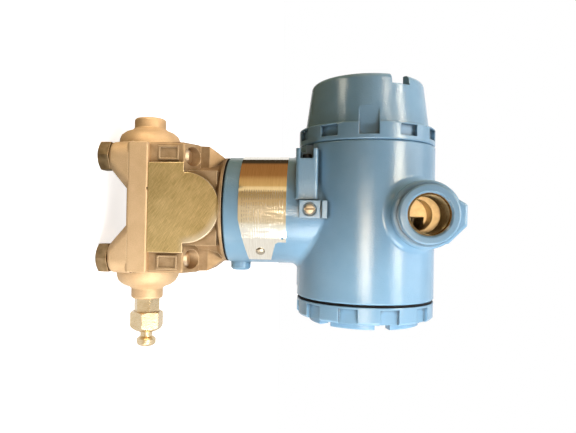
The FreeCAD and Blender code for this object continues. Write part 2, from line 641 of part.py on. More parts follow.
def sensor_module():
    """The stainless module: four ears with sloping ends, gussets up to the collar, two machined faces."""
    ears = body("module_ears")
    section = sketch(ears, "ear_section", "XZ_Plane")
    outline(section, [("-ear_half_x", "joint_z"), ("ear_half_x", "joint_z"),
                      ("ear_half_x", "ear_shoulder_z"), ("ear_top_x", "ear_top_z"),
                      ("-ear_top_x", "ear_top_z"), ("-ear_half_x", "ear_shoulder_z")])
    pad(ears, section, "2 * module_half_y", midplane=True)
    rounded(ears, "ear_round", lambda edge: not at_level(edge, "z", "joint_z"))

    gussets = []
    for side in SIDES:
        tag = NAMES[side]
        turn = FreeCAD.Rotation(FreeCAD.Vector(1, 0, 0), 90)
        steps = [("ear_top_z - 3", "ear_top_x", "module_half_y - 0.6", "gusset_inner_y"),
                 ("gusset_z", "gusset_half_x", "gusset_y", "gusset_inner_y"),
                 ("collar_top_z - 1", "gusset_tip_x", "gusset_tip_y", "gusset_tip_inner_y")]
        for step in (0, 1):
            low_z, low_x, low_y, low_inner = steps[step]
            high_z, high_x, high_y, high_inner = steps[step + 1]
            ends = sorted((f"{-side} * ({low_y})", f"{-side} * {low_inner}"), key=amount)
            tops = sorted((f"{-side} * ({high_y})", f"{-side} * {high_inner}"), key=amount)
            gussets.append(primitive(
                "Wedge", f"gusset_{tag}_{step}", ("0", "0", low_z), turn,
                Xmin=f"-({low_x})", Xmax=low_x, X2min=f"-({high_x})", X2max=high_x,
                Ymin="0", Ymax=f"({high_z}) - ({low_z})",
                Zmin=ends[0], Zmax=ends[1], Z2min=tops[0], Z2max=tops[1]))

    shoulder = block("module_shoulder", ("-shoulder_x", "-shoulder_half_y", "joint_z + 10"),
                     ("shoulder_x", "shoulder_half_y", "shoulder_top_z"))
    straight = block("face_straight", ("-face_x", "-face_half_y", "joint_z"),
                     ("face_x", "face_half_y", "ear_shoulder_z + 0.4"))
    arch = rod("face_arch", "face_radius", "2 * face_x", ("-face_x", "0", "face_centre_z"), TO_PLUS_X)
    collar = turned("module_collar", [
        ("0", "joint_z + 10"), ("collar_radius", "joint_z + 10"), ("collar_radius", "collar_top_z - 4.2"),
        ("collar_rim_radius", "collar_top_z - 1.6"), ("collar_rim_radius", "collar_top_z"),
        ("stub_radius", "collar_top_z"), ("stub_radius", "stub_top_z"), ("0", "stub_top_z")])
    marks = []
    for x in SIDES:
        for y in SIDES:
            tag = f"{NAMES[x]}_{NAMES[y]}"
            faces = sorted((f"{x} * (ear_half_x - past)", f"{x} * (ear_half_x + mark_lift)"), key=amount)
            middle = f"{y} * mark_y"
            frame = block(f"mark_frame_{tag}",
                          (faces[0], f"{middle} - mark_half_y", "mark_z - mark_half_z"),
                          (faces[1], f"{middle} + mark_half_y", "mark_z + mark_half_z"))
            fields = sorted((f"{x} * (ear_half_x + mark_floor)", f"{x} * (face_x + past)"), key=amount)
            reach_y, reach_z = "mark_half_y - mark_border", "mark_half_z - mark_border"
            field = block(f"mark_field_{tag}",
                          (fields[0], f"{middle} - ({reach_y})", f"mark_z - ({reach_z})"),
                          (fields[1], f"{middle} + {reach_y}", f"mark_z + {reach_z}"))
            marks.append(cut(f"mark_{tag}", frame, [field]))
    casting = fuse("module_whole", [ears, shoulder, straight, arch, collar] + gussets + marks)

    tools = []
    for x in SIDES:
        for y in SIDES:
            hole_at = (f"{x} * bolt_x", f"{y} * bolt_y", "joint_z - past")
            tools.append(rod(f"ear_hole_{NAMES[x]}_{NAMES[y]}", "bolt_radius + fit",
                             "gusset_z - joint_z + 4 * past", hole_at))
    for side in SIDES:
        tools.append(rod(f"isolator_recess_{NAMES[side]}", "isolator_radius", "isolator_depth + past",
                         ("0", f"{side} * isolator_y", "joint_z - past")))
    return node("sensor_module", cut("sensor_module_part", casting, tools))


def neck_seal():
    """A flat rubber ring between the module's collar and the housing."""
    return node("neck_seal", turned("neck_seal_part", [
        ("seal_inner_radius", "collar_top_z"), ("collar_rim_radius", "collar_top_z"),
        ("collar_rim_radius", "collar_top_z + seal_thickness"),
        ("seal_inner_radius", "collar_top_z + seal_thickness")]))


# Vent valve and drain plug

def vent_valve_seat():
    """The valve body screwed into the drain boss: a threaded spigot under a hexagon."""
    inner = "drain_end_y - drain_hole_depth"
    spigot = rod("seat_spigot", "drain_hole_radius - fit", f"drain_end_y - ({inner})",
                 ("0", inner, "drain_z"), TO_PLUS_Y)
    flats = FreeCAD.Rotation(FreeCAD.Vector(0, 1, 0), 30) * TO_PLUS_Y
    grip = hexagon("seat_hexagon", "valve_hex", "valve_hex_end_y - drain_end_y",
                   ("0", "drain_end_y", "drain_z"), flats)
    whole = fuse("seat_whole", [spigot, grip])
    tools = [rod("seat_port", "valve_port_radius", f"valve_seat_y - ({inner}) + 2 * past",
                 ("0", f"{inner} - past", "drain_z"), TO_PLUS_Y),
             rod("seat_bore", "valve_bore_radius", "valve_hex_end_y - valve_seat_y + past",
                 ("0", "valve_seat_y", "drain_z"), TO_PLUS_Y)]
    return node("vent_valve_seat", cut("vent_valve_seat_part", whole, tools))


def vent_valve_nut():
    """The larger hexagon over the seat, rounded at its outer end."""
    length = "nut_end_y - valve_hex_end_y"
    start = ("0", "valve_hex_end_y", "drain_z")
    grip = hexagon("nut_hexagon", "nut_hex", length, start, TO_PLUS_Y)
    dome = turned("nut_dome", [
        ("0", "0"), ("nut_hex / 2 + 0.1", "0"), ("nut_hex / 2 + 1.3", "0.8"),
        ("nut_hex / 2 + 1.3", f"({length}) - 3.4"),
        ("nut_hex / 2 - 0.2", f"({length}) - 1.8"), ("nut_hex / 2 - 2.2", f"({length}) - 0.5"),
        ("nut_hex / 2 - 4", length), ("0", length)], start, TO_PLUS_Y)
    whole = common("nut_whole", [grip, dome])
    bore = rod("nut_bore", "valve_bore_radius", f"({length}) + 2 * past",
               ("0", "valve_hex_end_y - past", "drain_z"), TO_PLUS_Y)
    return node("vent_valve_nut", cut("vent_valve_nut_part", whole, [bore]))


def vent_stem():
    """The bleed screw: a rod through the nut with a round head."""
    head = "stem_head_radius"
    return node("vent_stem", turned("vent_stem_part", [
        ("0", "stem_nose_y"), ("stem_radius - 1", "stem_nose_y"), ("stem_radius", "stem_nose_y + 1"),
        ("stem_radius", "stem_head_y - 0.8"), (f"{head} - 0.9", "stem_head_y"), (head, "stem_head_y + 0.9"),
        (head, "stem_end_y - 2"), (f"{head} - 0.6", "stem_end_y - 0.9"),
        (f"{head} - 1.8", "stem_end_y - 0.2"), (f"{head} - 3", "stem_end_y"), ("0", "stem_end_y")],
        ("0", "0", "drain_z"), TO_PLUS_Y))


def vent_ball():
    """The ceramic ball that the stem presses on its seat."""
    ball = primitive("Sphere", "vent_ball_part", ("0", "ball_y", "drain_z"), Radius="ball_radius")
    return node("vent_ball", ball)


def drain_plug():
    """A socket plug, flush in the drain boss that has no valve."""
    inner = "drain_end_y - drain_hole_depth + 1"
    outer = "drain_end_y - plug_sink"
    spigot = rod("plug_spigot", "drain_hole_radius - fit", f"{outer} - ({inner})",
                 ("0", f"-({inner})", "drain_z"), TO_MINUS_Y)
    socket = hexagon("plug_socket_hex", "plug_socket", "plug_socket_depth + past",
                     ("0", f"-({outer} - plug_socket_depth)", "drain_z"), TO_MINUS_Y)
    return node("drain_plug", cut("drain_plug_part", spigot, [socket]))


# Housing

def conduit_boss(side, turn):
    """One conduit entry: a boss, a groove and a ring with the threaded hole's face."""
    boss = turned(f"conduit_boss_{NAMES[side]}", [
        ("0", "conduit_boss_x - 2"), ("conduit_boss_radius", "conduit_boss_x - 2"),
        ("conduit_boss_radius", "conduit_boss_x - 1"),
        ("conduit_boss_radius - 1", "conduit_boss_x"), ("conduit_groove_radius", "conduit_boss_x"),
        ("conduit_groove_radius", "conduit_ring_x"),
        ("conduit_ring_radius", "conduit_ring_x"), ("conduit_ring_radius", "conduit_face_x"),
        ("0", "conduit_face_x")], ("0", "conduit_y", "conduit_z"), turn)
    rounded(boss, "conduit_round", lambda edge: circle_at(edge, "conduit_ring_radius", "conduit_face_x"))
    return boss


def housing_core(barrel, neck):
    """The barrel, the neck and the tube between the conduit entries, with their joins rounded."""
    tube = rod("conduit_tube", "conduit_boss_radius", "2 * (conduit_boss_x - 2)",
               ("2 - conduit_boss_x", "conduit_y", "conduit_z"), TO_PLUS_X)
    core = fuse("core_whole", [barrel, neck, tube])
    DOC.recompute()
    joins = []
    for number, edge in enumerate(core.Shape.Edges, start=1):
        if isinstance(edge.Curve, Part.BSplineCurve):
            high = edge.BoundBox.ZMax > amount("barrel_z")
            radius = amount("conduit_join" if high else "neck_join")
            joins.append((number, radius, radius))
    blended = DOC.addObject("Part::Fillet", "housing_core")
    blended.Base = core
    blended.Edges = joins
    return blended


def bridge():
    """The hump that runs over the barrel between the two conduit entries."""
    owner = body("bridge")
    section = sketch(owner, "bridge_section", "YZ_Plane")
    outline(section, [("conduit_y - bridge_side", "conduit_z"), ("conduit_y + bridge_side", "conduit_z"),
                      ("conduit_y + bridge_shoulder", "conduit_z + 11"),
                      ("conduit_y + bridge_crest", "bridge_top_z"),
                      ("conduit_y - bridge_crest", "bridge_top_z"),
                      ("conduit_y - bridge_crest - 2.6", "bridge_top_z - 4.4"),
                      ("conduit_y - bridge_shoulder", "conduit_z + 8")])
    pad(owner, section, "2 * bridge_half_x", midplane=True)
    rounded(owner, "bridge_round", lambda edge: not at_level(edge, "z", "conduit_z"))
    return owner


def lock_rib(name, side, low_y, high_y):
    """A rib beside the neck that holds a cover's lock screw."""
    owner = body(name)
    plan = sketch(owner, name + "_plan", "XY_Plane", "rib_low_z")
    outline(plan, [(f"{side} * rib_root_x", low_y), (f"{side} * rib_x", low_y),
                   (f"{side} * rib_x", high_y), (f"{side} * rib_root_x", high_y)])
    pad(owner, plan, "rib_high_z - rib_low_z")
    rounded(owner, "rib_round", lambda edge: (at_level(edge, "x", f"{side} * rib_x")
                                              and edge.BoundBox.YLength > TINY))
    return owner


def housing():
    """The aluminium housing casting: barrel, neck, conduit entries, bridge, ribs and pads."""
    length = "barrel_back_y - barrel_front_y"
    barrel = turned("barrel", [
        ("0", "0"), ("barrel_radius - 0.7", "0"), ("barrel_radius", "0.7"),
        ("barrel_radius", f"({length}) - 0.7"), ("barrel_radius - 0.7", length), ("0", length)],
        ("0", "barrel_front_y", "barrel_z"), TO_PLUS_Y)
    neck = turned("neck", [
        ("0", "neck_bottom_z"), ("neck_radius - 0.6", "neck_bottom_z"),
        ("neck_radius", "neck_bottom_z + 0.6"), ("neck_radius", "barrel_z - 12"), ("0", "barrel_z - 12")])
    entries = [conduit_boss(side, turn) for side, turn in zip(SIDES, (TO_PLUS_X, TO_MINUS_X))]
    ribs = [lock_rib("front_rib", 1, "rib_front_y", "rib_front_y + rib_length"),
            lock_rib("back_rib", -1, "rib_back_y - rib_length", "rib_back_y")]
    ground = block("ground_pad", ("rib_root_x", "-ground_half_y", "ground_low_z"),
                   ("ground_x", "ground_half_y", "ground_high_z"))
    stop = block("clamp_stop", ("rib_root_x", "-ground_half_y", "stop_low_z"),
                 ("ground_x + 0.6", "ground_half_y", "stop_high_z"))
    spin = turned("spin_boss", [
        ("0", "20"), ("spin_radius + 0.5", "20"), ("spin_radius", "spin_end_y - 1.2"),
        ("spin_radius - 1.2", "spin_end_y"), ("0", "spin_end_y")], ("0", "0", "spin_z"), TO_PLUS_Y)
    casting = housing_core(barrel, neck)
    # The pieces join one at a time and unrefined, because the rounded joins fail otherwise
    for number, piece in enumerate([bridge(), ground, stop, spin] + entries + ribs, start=1):
        casting = fuse(f"housing_stage_{number}", [casting, piece])
        casting.Refine = False

    back_bore = rod("back_bore", "barrel_bore_radius", "barrel_back_y - web_back_y + past",
                    ("0", "web_back_y", "barrel_z"), TO_PLUS_Y)
    entry_wall = block("entry_wall", ("-conduit_way_x", "web_back_y - past", "entry_wall_z"),
                       ("conduit_way_x", "entry_wall_y", "barrel_z + barrel_radius"))
    tools = [
        rod("neck_bore", "neck_bore_radius", "neck_bore_top_z - neck_bottom_z + past",
            ("0", "0", "neck_bottom_z - past")),
        rod("neck_cable_way", "neck_cable_radius", "barrel_z - neck_bore_top_z",
            ("0", "neck_cable_y", "neck_bore_top_z - 8 * past")),
        rod("front_bore", "barrel_bore_radius", "web_front_y - barrel_front_y + past",
            ("0", "barrel_front_y - past", "barrel_z"), TO_PLUS_Y),
        cut("terminal_bore", back_bore, [entry_wall]),
        rod("spin_thread", "spin_screw_radius + fit", "spin_end_y",
            ("0", "neck_bore_radius - past", "spin_z"), TO_PLUS_Y),
        rod("ground_thread", "ground_thread_radius + fit", "ground_screw_depth + past",
            ("ground_x - ground_screw_depth", "0", "(ground_low_z + ground_high_z) / 2"), TO_PLUS_X),
        rod("ground_seat", "ground_seat_radius", "ground_seat_depth + past",
            ("ground_x - ground_seat_depth", "0", "(ground_low_z + ground_high_z) / 2"), TO_PLUS_X)]
    for side, turn in zip(SIDES, (TO_PLUS_X, TO_MINUS_X)):
        tag = NAMES[side]
        lead_at = (f"{side} * (conduit_face_x - conduit_lead)", "conduit_y", "conduit_z")
        tools.append(primitive(
            "Cone", f"conduit_lead_{tag}", lead_at, turn, Radius1="conduit_radius",
            Radius2="conduit_radius + conduit_lead", Height="conduit_lead"))
        tools.append(rod(f"conduit_thread_{tag}", "conduit_radius",
                         "conduit_face_x - conduit_thread_x + past",
                         (f"{side} * conduit_thread_x", "conduit_y", "conduit_z"), turn))
        tools.append(rod(f"conduit_way_{tag}", "conduit_inner_radius",
                         "conduit_thread_x - conduit_way_x + past",
                         (f"{side} * conduit_way_x", "conduit_y", "conduit_way_z"), turn))
    tools += [
        block("front_notch", ("notch_root_x", "rib_front_y - 6", "notch_z - notch_half"),
              ("rib_x + 4", "rib_front_y + notch_length", "notch_z + notch_half")),
        block("back_notch", ("-rib_x - 4", "rib_back_y - notch_length", "notch_z - notch_half"),
              ("-notch_root_x", "rib_back_y + 6", "notch_z + notch_half")),
        rod("front_lock_thread", "lock_hole_radius + fit", "lock_hole_depth + past",
            ("lock_x", "rib_front_y + notch_length - past", "notch_z"), TO_PLUS_Y),
        rod("back_lock_thread", "lock_hole_radius + fit", "lock_hole_depth + past",
            ("-lock_x", "rib_back_y - notch_length + past", "notch_z"), TO_MINUS_Y)]
    for name, angle in (("front", "drive_angle"), ("rear", "drive_back_angle")):
        tools.append(drive_hole(f"{name}_drive_hole", angle))
    for side in SIDES:
        tools.append(rod(f"block_fixing_hole_{NAMES[side]}", "fixing_shank_radius + fit", "3",
                         (f"{side} * fixing_x", "web_back_y - 2.5", "fixing_z"), TO_PLUS_Y))
    return node("housing", cut("housing_part", casting, tools))


def conduit_plug():
    """A socket plug, sunk in the conduit entry that is not wired."""
    outer = "conduit_face_x - blank_sink"
    spigot = rod("blank_spigot", "conduit_radius - fit", "blank_length",
                 (f"-({outer} - blank_length)", "conduit_y", "conduit_z"), TO_MINUS_X)
    socket = hexagon("blank_socket_hex", "blank_socket", "blank_socket_depth + past",
                     (f"-({outer} - blank_socket_depth)", "conduit_y", "conduit_z"), TO_MINUS_X)
    return node("conduit_plug", cut("conduit_plug_part", spigot, [socket]))


def round_neck(angle):
    """The turn that points an object's Z axis out of the neck at an angle."""
    return FreeCAD.Rotation(FreeCAD.Vector(0, 0, 1), amount(angle)) * TO_PLUS_X


def drive_hole(name, angle):
    """The hole that a drive screw is hammered into."""
    reach = "(neck_radius - drive_depth - 0.5)"
    spot = (f"{reach} * cos({angle})", f"{reach} * sin({angle})", "drive_z")
    return rod(name, "drive_shank_radius + fit", "drive_depth + 3", spot, round_neck(angle))


def nameplate():
    """A thin steel plate rolled round the neck, with a tapering tongue and a tab with a small hole."""
    sheet = primitive("Cylinder", "name_outer", ("0", "0", "name_low_z"),
                      FreeCAD.Rotation(FreeCAD.Vector(0, 0, 1), amount("name_start")),
                      Radius="neck_radius + plate_gap + plate_thickness", Height="name_high_z - name_low_z",
                      Angle="name_end - name_start")
    core = rod("name_core", "neck_radius + plate_gap", "name_high_z - name_low_z + 2 * past",
               ("0", "0", "name_low_z - past"))
    trims = []
    shapes = {
        "name_lower_trim": [("name_taper_y", "name_low_z"), ("neck_radius", "name_taper_z + 0.6"),
                            ("neck_radius", "name_low_z - 2"), ("name_taper_y", "name_low_z - 2")],
        "name_upper_trim": [("name_tab_y", "name_high_z + 2"), ("name_tab_y", "name_step_z + 1.6"),
                            ("name_tab_y + 1", "name_step_z"), ("neck_radius", "name_tongue_z - 0.4"),
                            ("neck_radius", "name_high_z + 2")]}
    for name, points in shapes.items():
        owner = body(name)
        section = sketch(owner, name + "_section", "YZ_Plane")
        outline(section, points)
        pad(owner, section, "neck_radius + 4")
        trims.append(owner)
    hole = rod("name_hole", "name_hole_radius", "neck_radius", ("0", "name_hole_y", "name_hole_z"), TO_PLUS_X)
    drives = [drive_hole(f"name_{name}_hole", angle)
              for name, angle in (("tongue", "drive_angle"), ("plain", "drive_back_angle"))]
    return node("nameplate", cut("nameplate_part", sheet, [core, hole] + trims + drives))


def nameplate_screws():
    """Two round-headed drive screws through the nameplate."""
    screws = []
    foot = "neck_radius + plate_gap + plate_thickness"
    for name, angle in (("front", "drive_angle"), ("rear", "drive_back_angle")):
        spot = (f"({foot}) * cos({angle})", f"({foot}) * sin({angle})", "drive_z")
        screws.append(turned(f"{name}_drive_screw", [
            ("0", "-drive_depth"), ("drive_shank_radius", "-drive_depth"), ("drive_shank_radius", "0.16"),
            ("drive_radius", "0.16"), ("drive_radius - 0.2", "0.7"), ("drive_radius - 0.9", "1.15"),
            ("0", "1.4")], spot, round_neck(angle)))
    return node("nameplate_screws", fuse("nameplate_screws_part", screws))


def pan_screw(name, head, head_height, shank, depth, at, turn):
    """A slotted pan-head screw with its seat at the given point and its head outwards."""
    screw = turned(name + "_blank", [
        ("0", f"-({depth})"), (shank, f"-({depth})"), (shank, "0"), (head, "0"),
        (head, f"0.55 * ({head_height})"), (f"0.8 * ({head})", f"0.92 * ({head_height})"),
        (f"0.45 * ({head})", head_height), ("0", head_height)], at, turn)
    slot = primitive("Box", name + "_slot", at, turn,
                     Length=f"3 * ({head})", Width="slot_width", Height=head_height)
    corner = (-1.5 * amount(head), -amount("slot_width") / 2, amount(head_height) / 2)
    offset = turn.multVec(FreeCAD.Vector(*corner))
    for axis, text, shift in zip("xyz", at, offset):
        slot.setExpression("Placement.Base." + axis, formula(f"{text} + ({shift:.4f})"))
    return cut(name, screw, [slot])


def ground_screw():
    """The earth screw in its pad beside the neck."""
    spot = ("ground_x - ground_seat_depth", "0", "(ground_low_z + ground_high_z) / 2")
    return node("ground_screw", pan_screw(
        "ground_screw_part", "ground_screw_radius", "ground_head", "ground_thread_radius",
        "ground_screw_depth - ground_seat_depth - 1", spot, TO_PLUS_X))


def socket_screw(name, head, head_height, shank, depth, at, turn):
    """A cap screw with a hexagon socket, seated at the given point."""
    blank = turned(name + "_blank", [
        ("0", f"-({depth})"), (shank, f"-({depth})"), (shank, "0"), (head, "0"),
        (head, f"({head_height}) - 0.4"), (f"({head}) - 0.4", head_height), ("0", head_height)], at, turn)
    direction = turn.multVec(FreeCAD.Vector(0, 0, 1))
    mouth = [f"{text} + ({part:.0f}) * 0.4 * ({head_height})" for text, part in zip(at, direction)]
    socket = hexagon(name + "_socket", f"1.15 * ({head})", head_height, mouth, turn)
    return cut(name, blank, [socket])


def cover_lock_screws():
    """One socket screw in each rib's notch, turned out to lock a cover."""
    screws = [
        socket_screw("front_lock", "lock_radius", "lock_head", "lock_hole_radius", "lock_hole_depth - 1",
                     ("lock_x", "rib_front_y + notch_length - 0.1", "notch_z"), TO_MINUS_Y),
        socket_screw("back_lock", "lock_radius", "lock_head", "lock_hole_radius", "lock_hole_depth - 1",
                     ("-lock_x", "rib_back_y - notch_length + 0.1", "notch_z"), TO_PLUS_Y)]
    return node("cover_lock_screws", fuse("cover_lock_screws_part", screws))


def rotation_screw():
    """The set screw that stops the housing from turning on the module."""
    outer = "spin_end_y - 2"
    blank = rod("rotation_blank", "spin_screw_radius", "spin_screw_length",
                ("0", f"{outer} - spin_screw_length", "spin_z"), TO_PLUS_Y)
    socket = hexagon("rotation_socket", "spin_socket", "spin_socket_depth + past",
                     ("0", f"{outer} - spin_socket_depth", "spin_z"), TO_PLUS_Y)
    return node("rotation_screw", cut("rotation_screw_part", blank, [socket]))


# Terminal compartment

def terminal_spots():
    """Where the three terminals are along X."""
    return [("left", "-well_pitch"), ("middle", "0"), ("right", "well_pitch")]


def terminal_block():
    """The moulded terminal block in the lower part of its compartment, with three wells."""
    length = "block_front_y - web_back_y - 0.1"
    disc = rod("block_disc", "block_radius", length, ("0", "web_back_y + 0.1", "barrel_z"), TO_PLUS_Y)
    limit = block("block_limit", ("-block_radius", "web_back_y - 1", "barrel_z - block_radius"),
                  ("block_radius", "block_front_y + 1", "block_top_z"))
    tools = []
    for name, x in terminal_spots():
        tools.append(block(f"well_{name}",
                           (f"{x} - well_width / 2", "block_front_y - well_depth", "well_low_z"),
                           (f"{x} + well_width / 2", "block_front_y + past", "well_low_z + well_height")))
        tools.append(rod(f"well_thread_{name}", "terminal_shank_radius + fit", "terminal_shank + 2",
                         (x, "block_front_y - well_depth + 1", "terminal_z"), TO_MINUS_Y))
    for side in SIDES:
        centre = f"{side} * fixing_x"
        tag = NAMES[side]
        tools.append(rod(f"fixing_way_{tag}", "fixing_shank_radius + fit", "block_front_y - web_back_y",
                         (centre, "web_back_y - past", "fixing_z"), TO_PLUS_Y))
        tools.append(rod(f"fixing_sink_{tag}", "fixing_radius + 6 * fit", "block_front_y - web_back_y",
                         (centre, "web_back_y + fixing_seat", "fixing_z"), TO_PLUS_Y))
    whole = common("block_whole", [disc, limit])
    return node("terminal_block", cut("terminal_block_part", whole, tools))


def terminal_clamps():
    """A square clamp plate under each terminal screw."""
    floor = "block_front_y - well_depth"
    plates = []
    for name, x in terminal_spots():
        low = (f"{x} - clamp_side / 2", floor, "terminal_z - clamp_side / 2")
        high = (f"{x} + clamp_side / 2", f"{floor} + clamp_thickness", "terminal_z + clamp_side / 2")
        plate = block(f"clamp_plate_{name}", low, high)
        hole = rod(f"clamp_hole_{name}", "terminal_shank_radius + fit", "clamp_thickness + 2 * past",
                   (x, f"{floor} - past", "terminal_z"), TO_PLUS_Y)
        plates.append(cut(f"clamp_{name}", plate, [hole]))
    return node("terminal_clamps", fuse("terminal_clamps_part", plates))


def terminal_screws():
    """Three slotted terminal screws."""
    seat = "block_front_y - well_depth + clamp_thickness"
    screws = [pan_screw(f"terminal_{name}", "terminal_radius", "terminal_head",
                        "terminal_shank_radius", "terminal_shank", (x, seat, "terminal_z"), TO_PLUS_Y)
              for name, x in terminal_spots()]
    return node("terminal_screws", fuse("terminal_screws_part", screws))


def terminal_block_screws():
    """Two screws that hold the terminal block to the web."""
    screws = [pan_screw(f"fixing_{NAMES[side]}", "fixing_radius", "fixing_head",
                        "fixing_shank_radius", "fixing_shank - 1.2",
                        (f"{side} * fixing_x", "web_back_y + fixing_seat", "fixing_z"), TO_PLUS_Y)
              for side in SIDES]
    return node("terminal_block_screws", fuse("terminal_block_screws_part", screws))


# Electronics and display

def board_screw_spots():
    """Three places for the board screws, as X and Z formulas."""
    return [("top", "0", "barrel_z + board_screw_circle"),
            ("left", "-board_screw_circle * cos(30)", "barrel_z - board_screw_circle * sin(30)"),
            ("right", "board_screw_circle * cos(30)", "barrel_z - board_screw_circle * sin(30)")]


def board_holes(prefix, depth):
    """Cylinders for the board screws' shanks, cut from what they pass through."""
    return [rod(f"{prefix}_{name}", "board_screw_shank_radius + fit", depth,
                (x, "can_front_y - board_thickness - past", z), TO_PLUS_Y)
            for name, x, z in board_screw_spots()]


def electronics_can():
    """The potted electronics can against the web."""
    length = "web_front_y - can_front_y - 0.1"
    can = turned("can_blank", [
        ("0", "0"), ("can_radius - 0.8", "0"), ("can_radius", "0.8"), ("can_radius", length),
        ("0", length)], ("0", "can_front_y", "barrel_z"), TO_PLUS_Y)
    holes = board_holes("can_hole", "board_screw_shank + 4 * past")
    return node("electronics_can", cut("electronics_can_part", can, holes))


def electronics_board():
    """The round circuit board on the can."""
    disc = rod("board_disc", "can_radius - 0.4", "board_thickness - 0.05",
               ("0", "can_front_y - board_thickness", "barrel_z"), TO_PLUS_Y)
    holes = board_holes("board_hole", "board_thickness + 2 * past")
    return node("electronics_board", cut("electronics_board_part", disc, holes))


def board_screws():
    """Three screws that hold the board to the can."""
    screws = [pan_screw(f"board_{name}", "board_screw_radius", "board_screw_head",
                        "board_screw_shank_radius", "board_screw_shank",
                        (x, "can_front_y - board_thickness", z), TO_MINUS_Y)
              for name, x, z in board_screw_spots()]
    return node("board_screws", fuse("board_screws_part", screws))


def display_body():
    """The round display housing that plugs in over the board, with a framed window for its panel."""
    length = "display_back_y - display_front_y"
    owner = turned("display_blank", [
        ("0", "0"), ("display_radius - 5", "0"), ("display_radius - 5", "3"), ("display_radius", "3"),
        ("display_radius", f"({length}) - 1.4"), ("display_radius - 1.4", length), ("0", length)],
        ("0", "display_back_y", "barrel_z"), TO_MINUS_Y)
    window = sketch(owner, "panel_window", "XY_Plane", length)
    outline(window, [(f"{x} * panel_width / 2", f"{y} * panel_height / 2")
                     for x, y in ((1, 1), (-1, 1), (-1, -1), (1, -1))])
    pocket(owner, window, "panel_depth")
    return node("display_body", owner)


def display_panel():
    """The liquid crystal panel in the display housing."""
    reach_x = "panel_width / 2 - fit"
    reach_z = "panel_height / 2 - fit"
    return node("display_panel", block(
        "display_panel_part", (f"-({reach_x})", "display_front_y + 0.2", f"barrel_z - ({reach_z})"),
        (reach_x, "display_front_y + panel_depth - 0.05", f"barrel_z + ({reach_z})")))


# Covers

def radial_slot(item, inner, outer, width):
    """A rectangle on a sketch's X axis, between two distances from the origin."""
    outline(item, [(inner, f"-{width} / 2"), (outer, f"-{width} / 2"),
                   (outer, f"{width} / 2"), (inner, f"{width} / 2")])


def grips(owner, name, low, high, phase):
    """Pockets all round a cover's rim for the fingers."""
    plan = sketch(owner, name, "XY_Plane", high, phase)
    radial_slot(plan, "grip_radius", "cover_radius + 4 * past", "grip_width")
    polar(owner, pocket(owner, plan, f"({high}) - ({low})"), plan, "grip_count")


def display_cover():
    """The tall cover: a threaded skirt, a rim with grips, a cone and a slotted bezel round the window."""
    owner = body("display_cover_shell", ("0", "barrel_front_y - cover_gap", "barrel_z"), TO_MINUS_Y)
    section = sketch(owner, "display_cover_profile", "XZ_Plane")
    outline(section, [
        ("skirt_bore_radius", "-skirt_length"), ("skirt_radius - 0.6", "-skirt_length"),
        ("skirt_radius", "0.6 - skirt_length"), ("skirt_radius", "-groove_width - 0.8"),
        ("groove_radius", "-groove_width - 0.8"), ("groove_radius", "-0.8"), ("skirt_radius", "-0.8"),
        ("skirt_radius", "0"), ("cover_radius", "0"), ("cover_radius", "rim_height"),
        ("cone_foot_radius", "rim_height"), ("cone_top_radius", "cover_height"),
        ("bezel_radius", "cover_height"), ("bezel_radius", "bezel_z"), ("sight_radius", "bezel_z"),
        ("sight_radius", "glass_seat_z"),
        ("glass_seat_radius", "glass_seat_z"), ("glass_seat_radius", "glass_back_z"),
        ("skirt_bore_radius", "glass_back_z")])
    revolve(owner, section)
    rounded(owner, "cover_round", lambda edge: circle_at(edge, "cone_top_radius", "cover_height"))
    rounded(owner, "rim_round", lambda edge: circle_at(edge, "cover_radius", "rim_height")
            or circle_at(edge, "cover_radius", "0"))
    grips(owner, "display_grip", "grip_low", "grip_high", "grip_angle")
    flute = sketch(owner, "tall_flute", "XY_Plane", "flute_high", "grip_angle")
    radial_slot(flute, "flute_radius", "cover_radius + 4 * past", "grip_width")
    pocket(owner, flute, "flute_high - grip_low")
    wrench = sketch(owner, "wrench_slot", "XY_Plane", "cover_height + past", "wrench_angle")
    radial_slot(wrench, "sight_radius - past", "cone_foot_radius + 2 * past", "wrench_width")
    polar(owner, pocket(owner, wrench, "wrench_depth + past"), wrench, "2")
    return node("display_cover", owner)


def front_ring(name, low, high, inner, outer):
    """A ring or disc on the display cover's axis, between two heights in the cover."""
    start = ("0", "barrel_front_y - cover_gap", "barrel_z")
    profile = [(inner, low), (outer, low), (outer, high), (inner, high)]
    return node(name, turned(name + "_part", profile, start, TO_MINUS_Y))


def window_parts():
    """The glass, the gasket in front of it and the screwed ring behind it."""
    front = "glass_seat_z - gasket_thickness"
    back = f"{front} - glass_thickness"
    front_ring("window_gasket", front, "glass_seat_z", "sight_radius + 0.2", "glass_seat_radius - 0.1")
    front_ring("display_window", back, front, "0", "glass_seat_radius - 0.1")
    front_ring("window_ring", "glass_back_z + 0.4", back, "sight_radius - 0.4", "glass_seat_radius - fit")


def display_cover_seal():
    """The rubber seal in the groove of the display cover's skirt."""
    front_ring("display_cover_seal", "-groove_width - 0.6", "-1",
               "groove_radius + 2 * fit", "skirt_radius - 2 * fit")


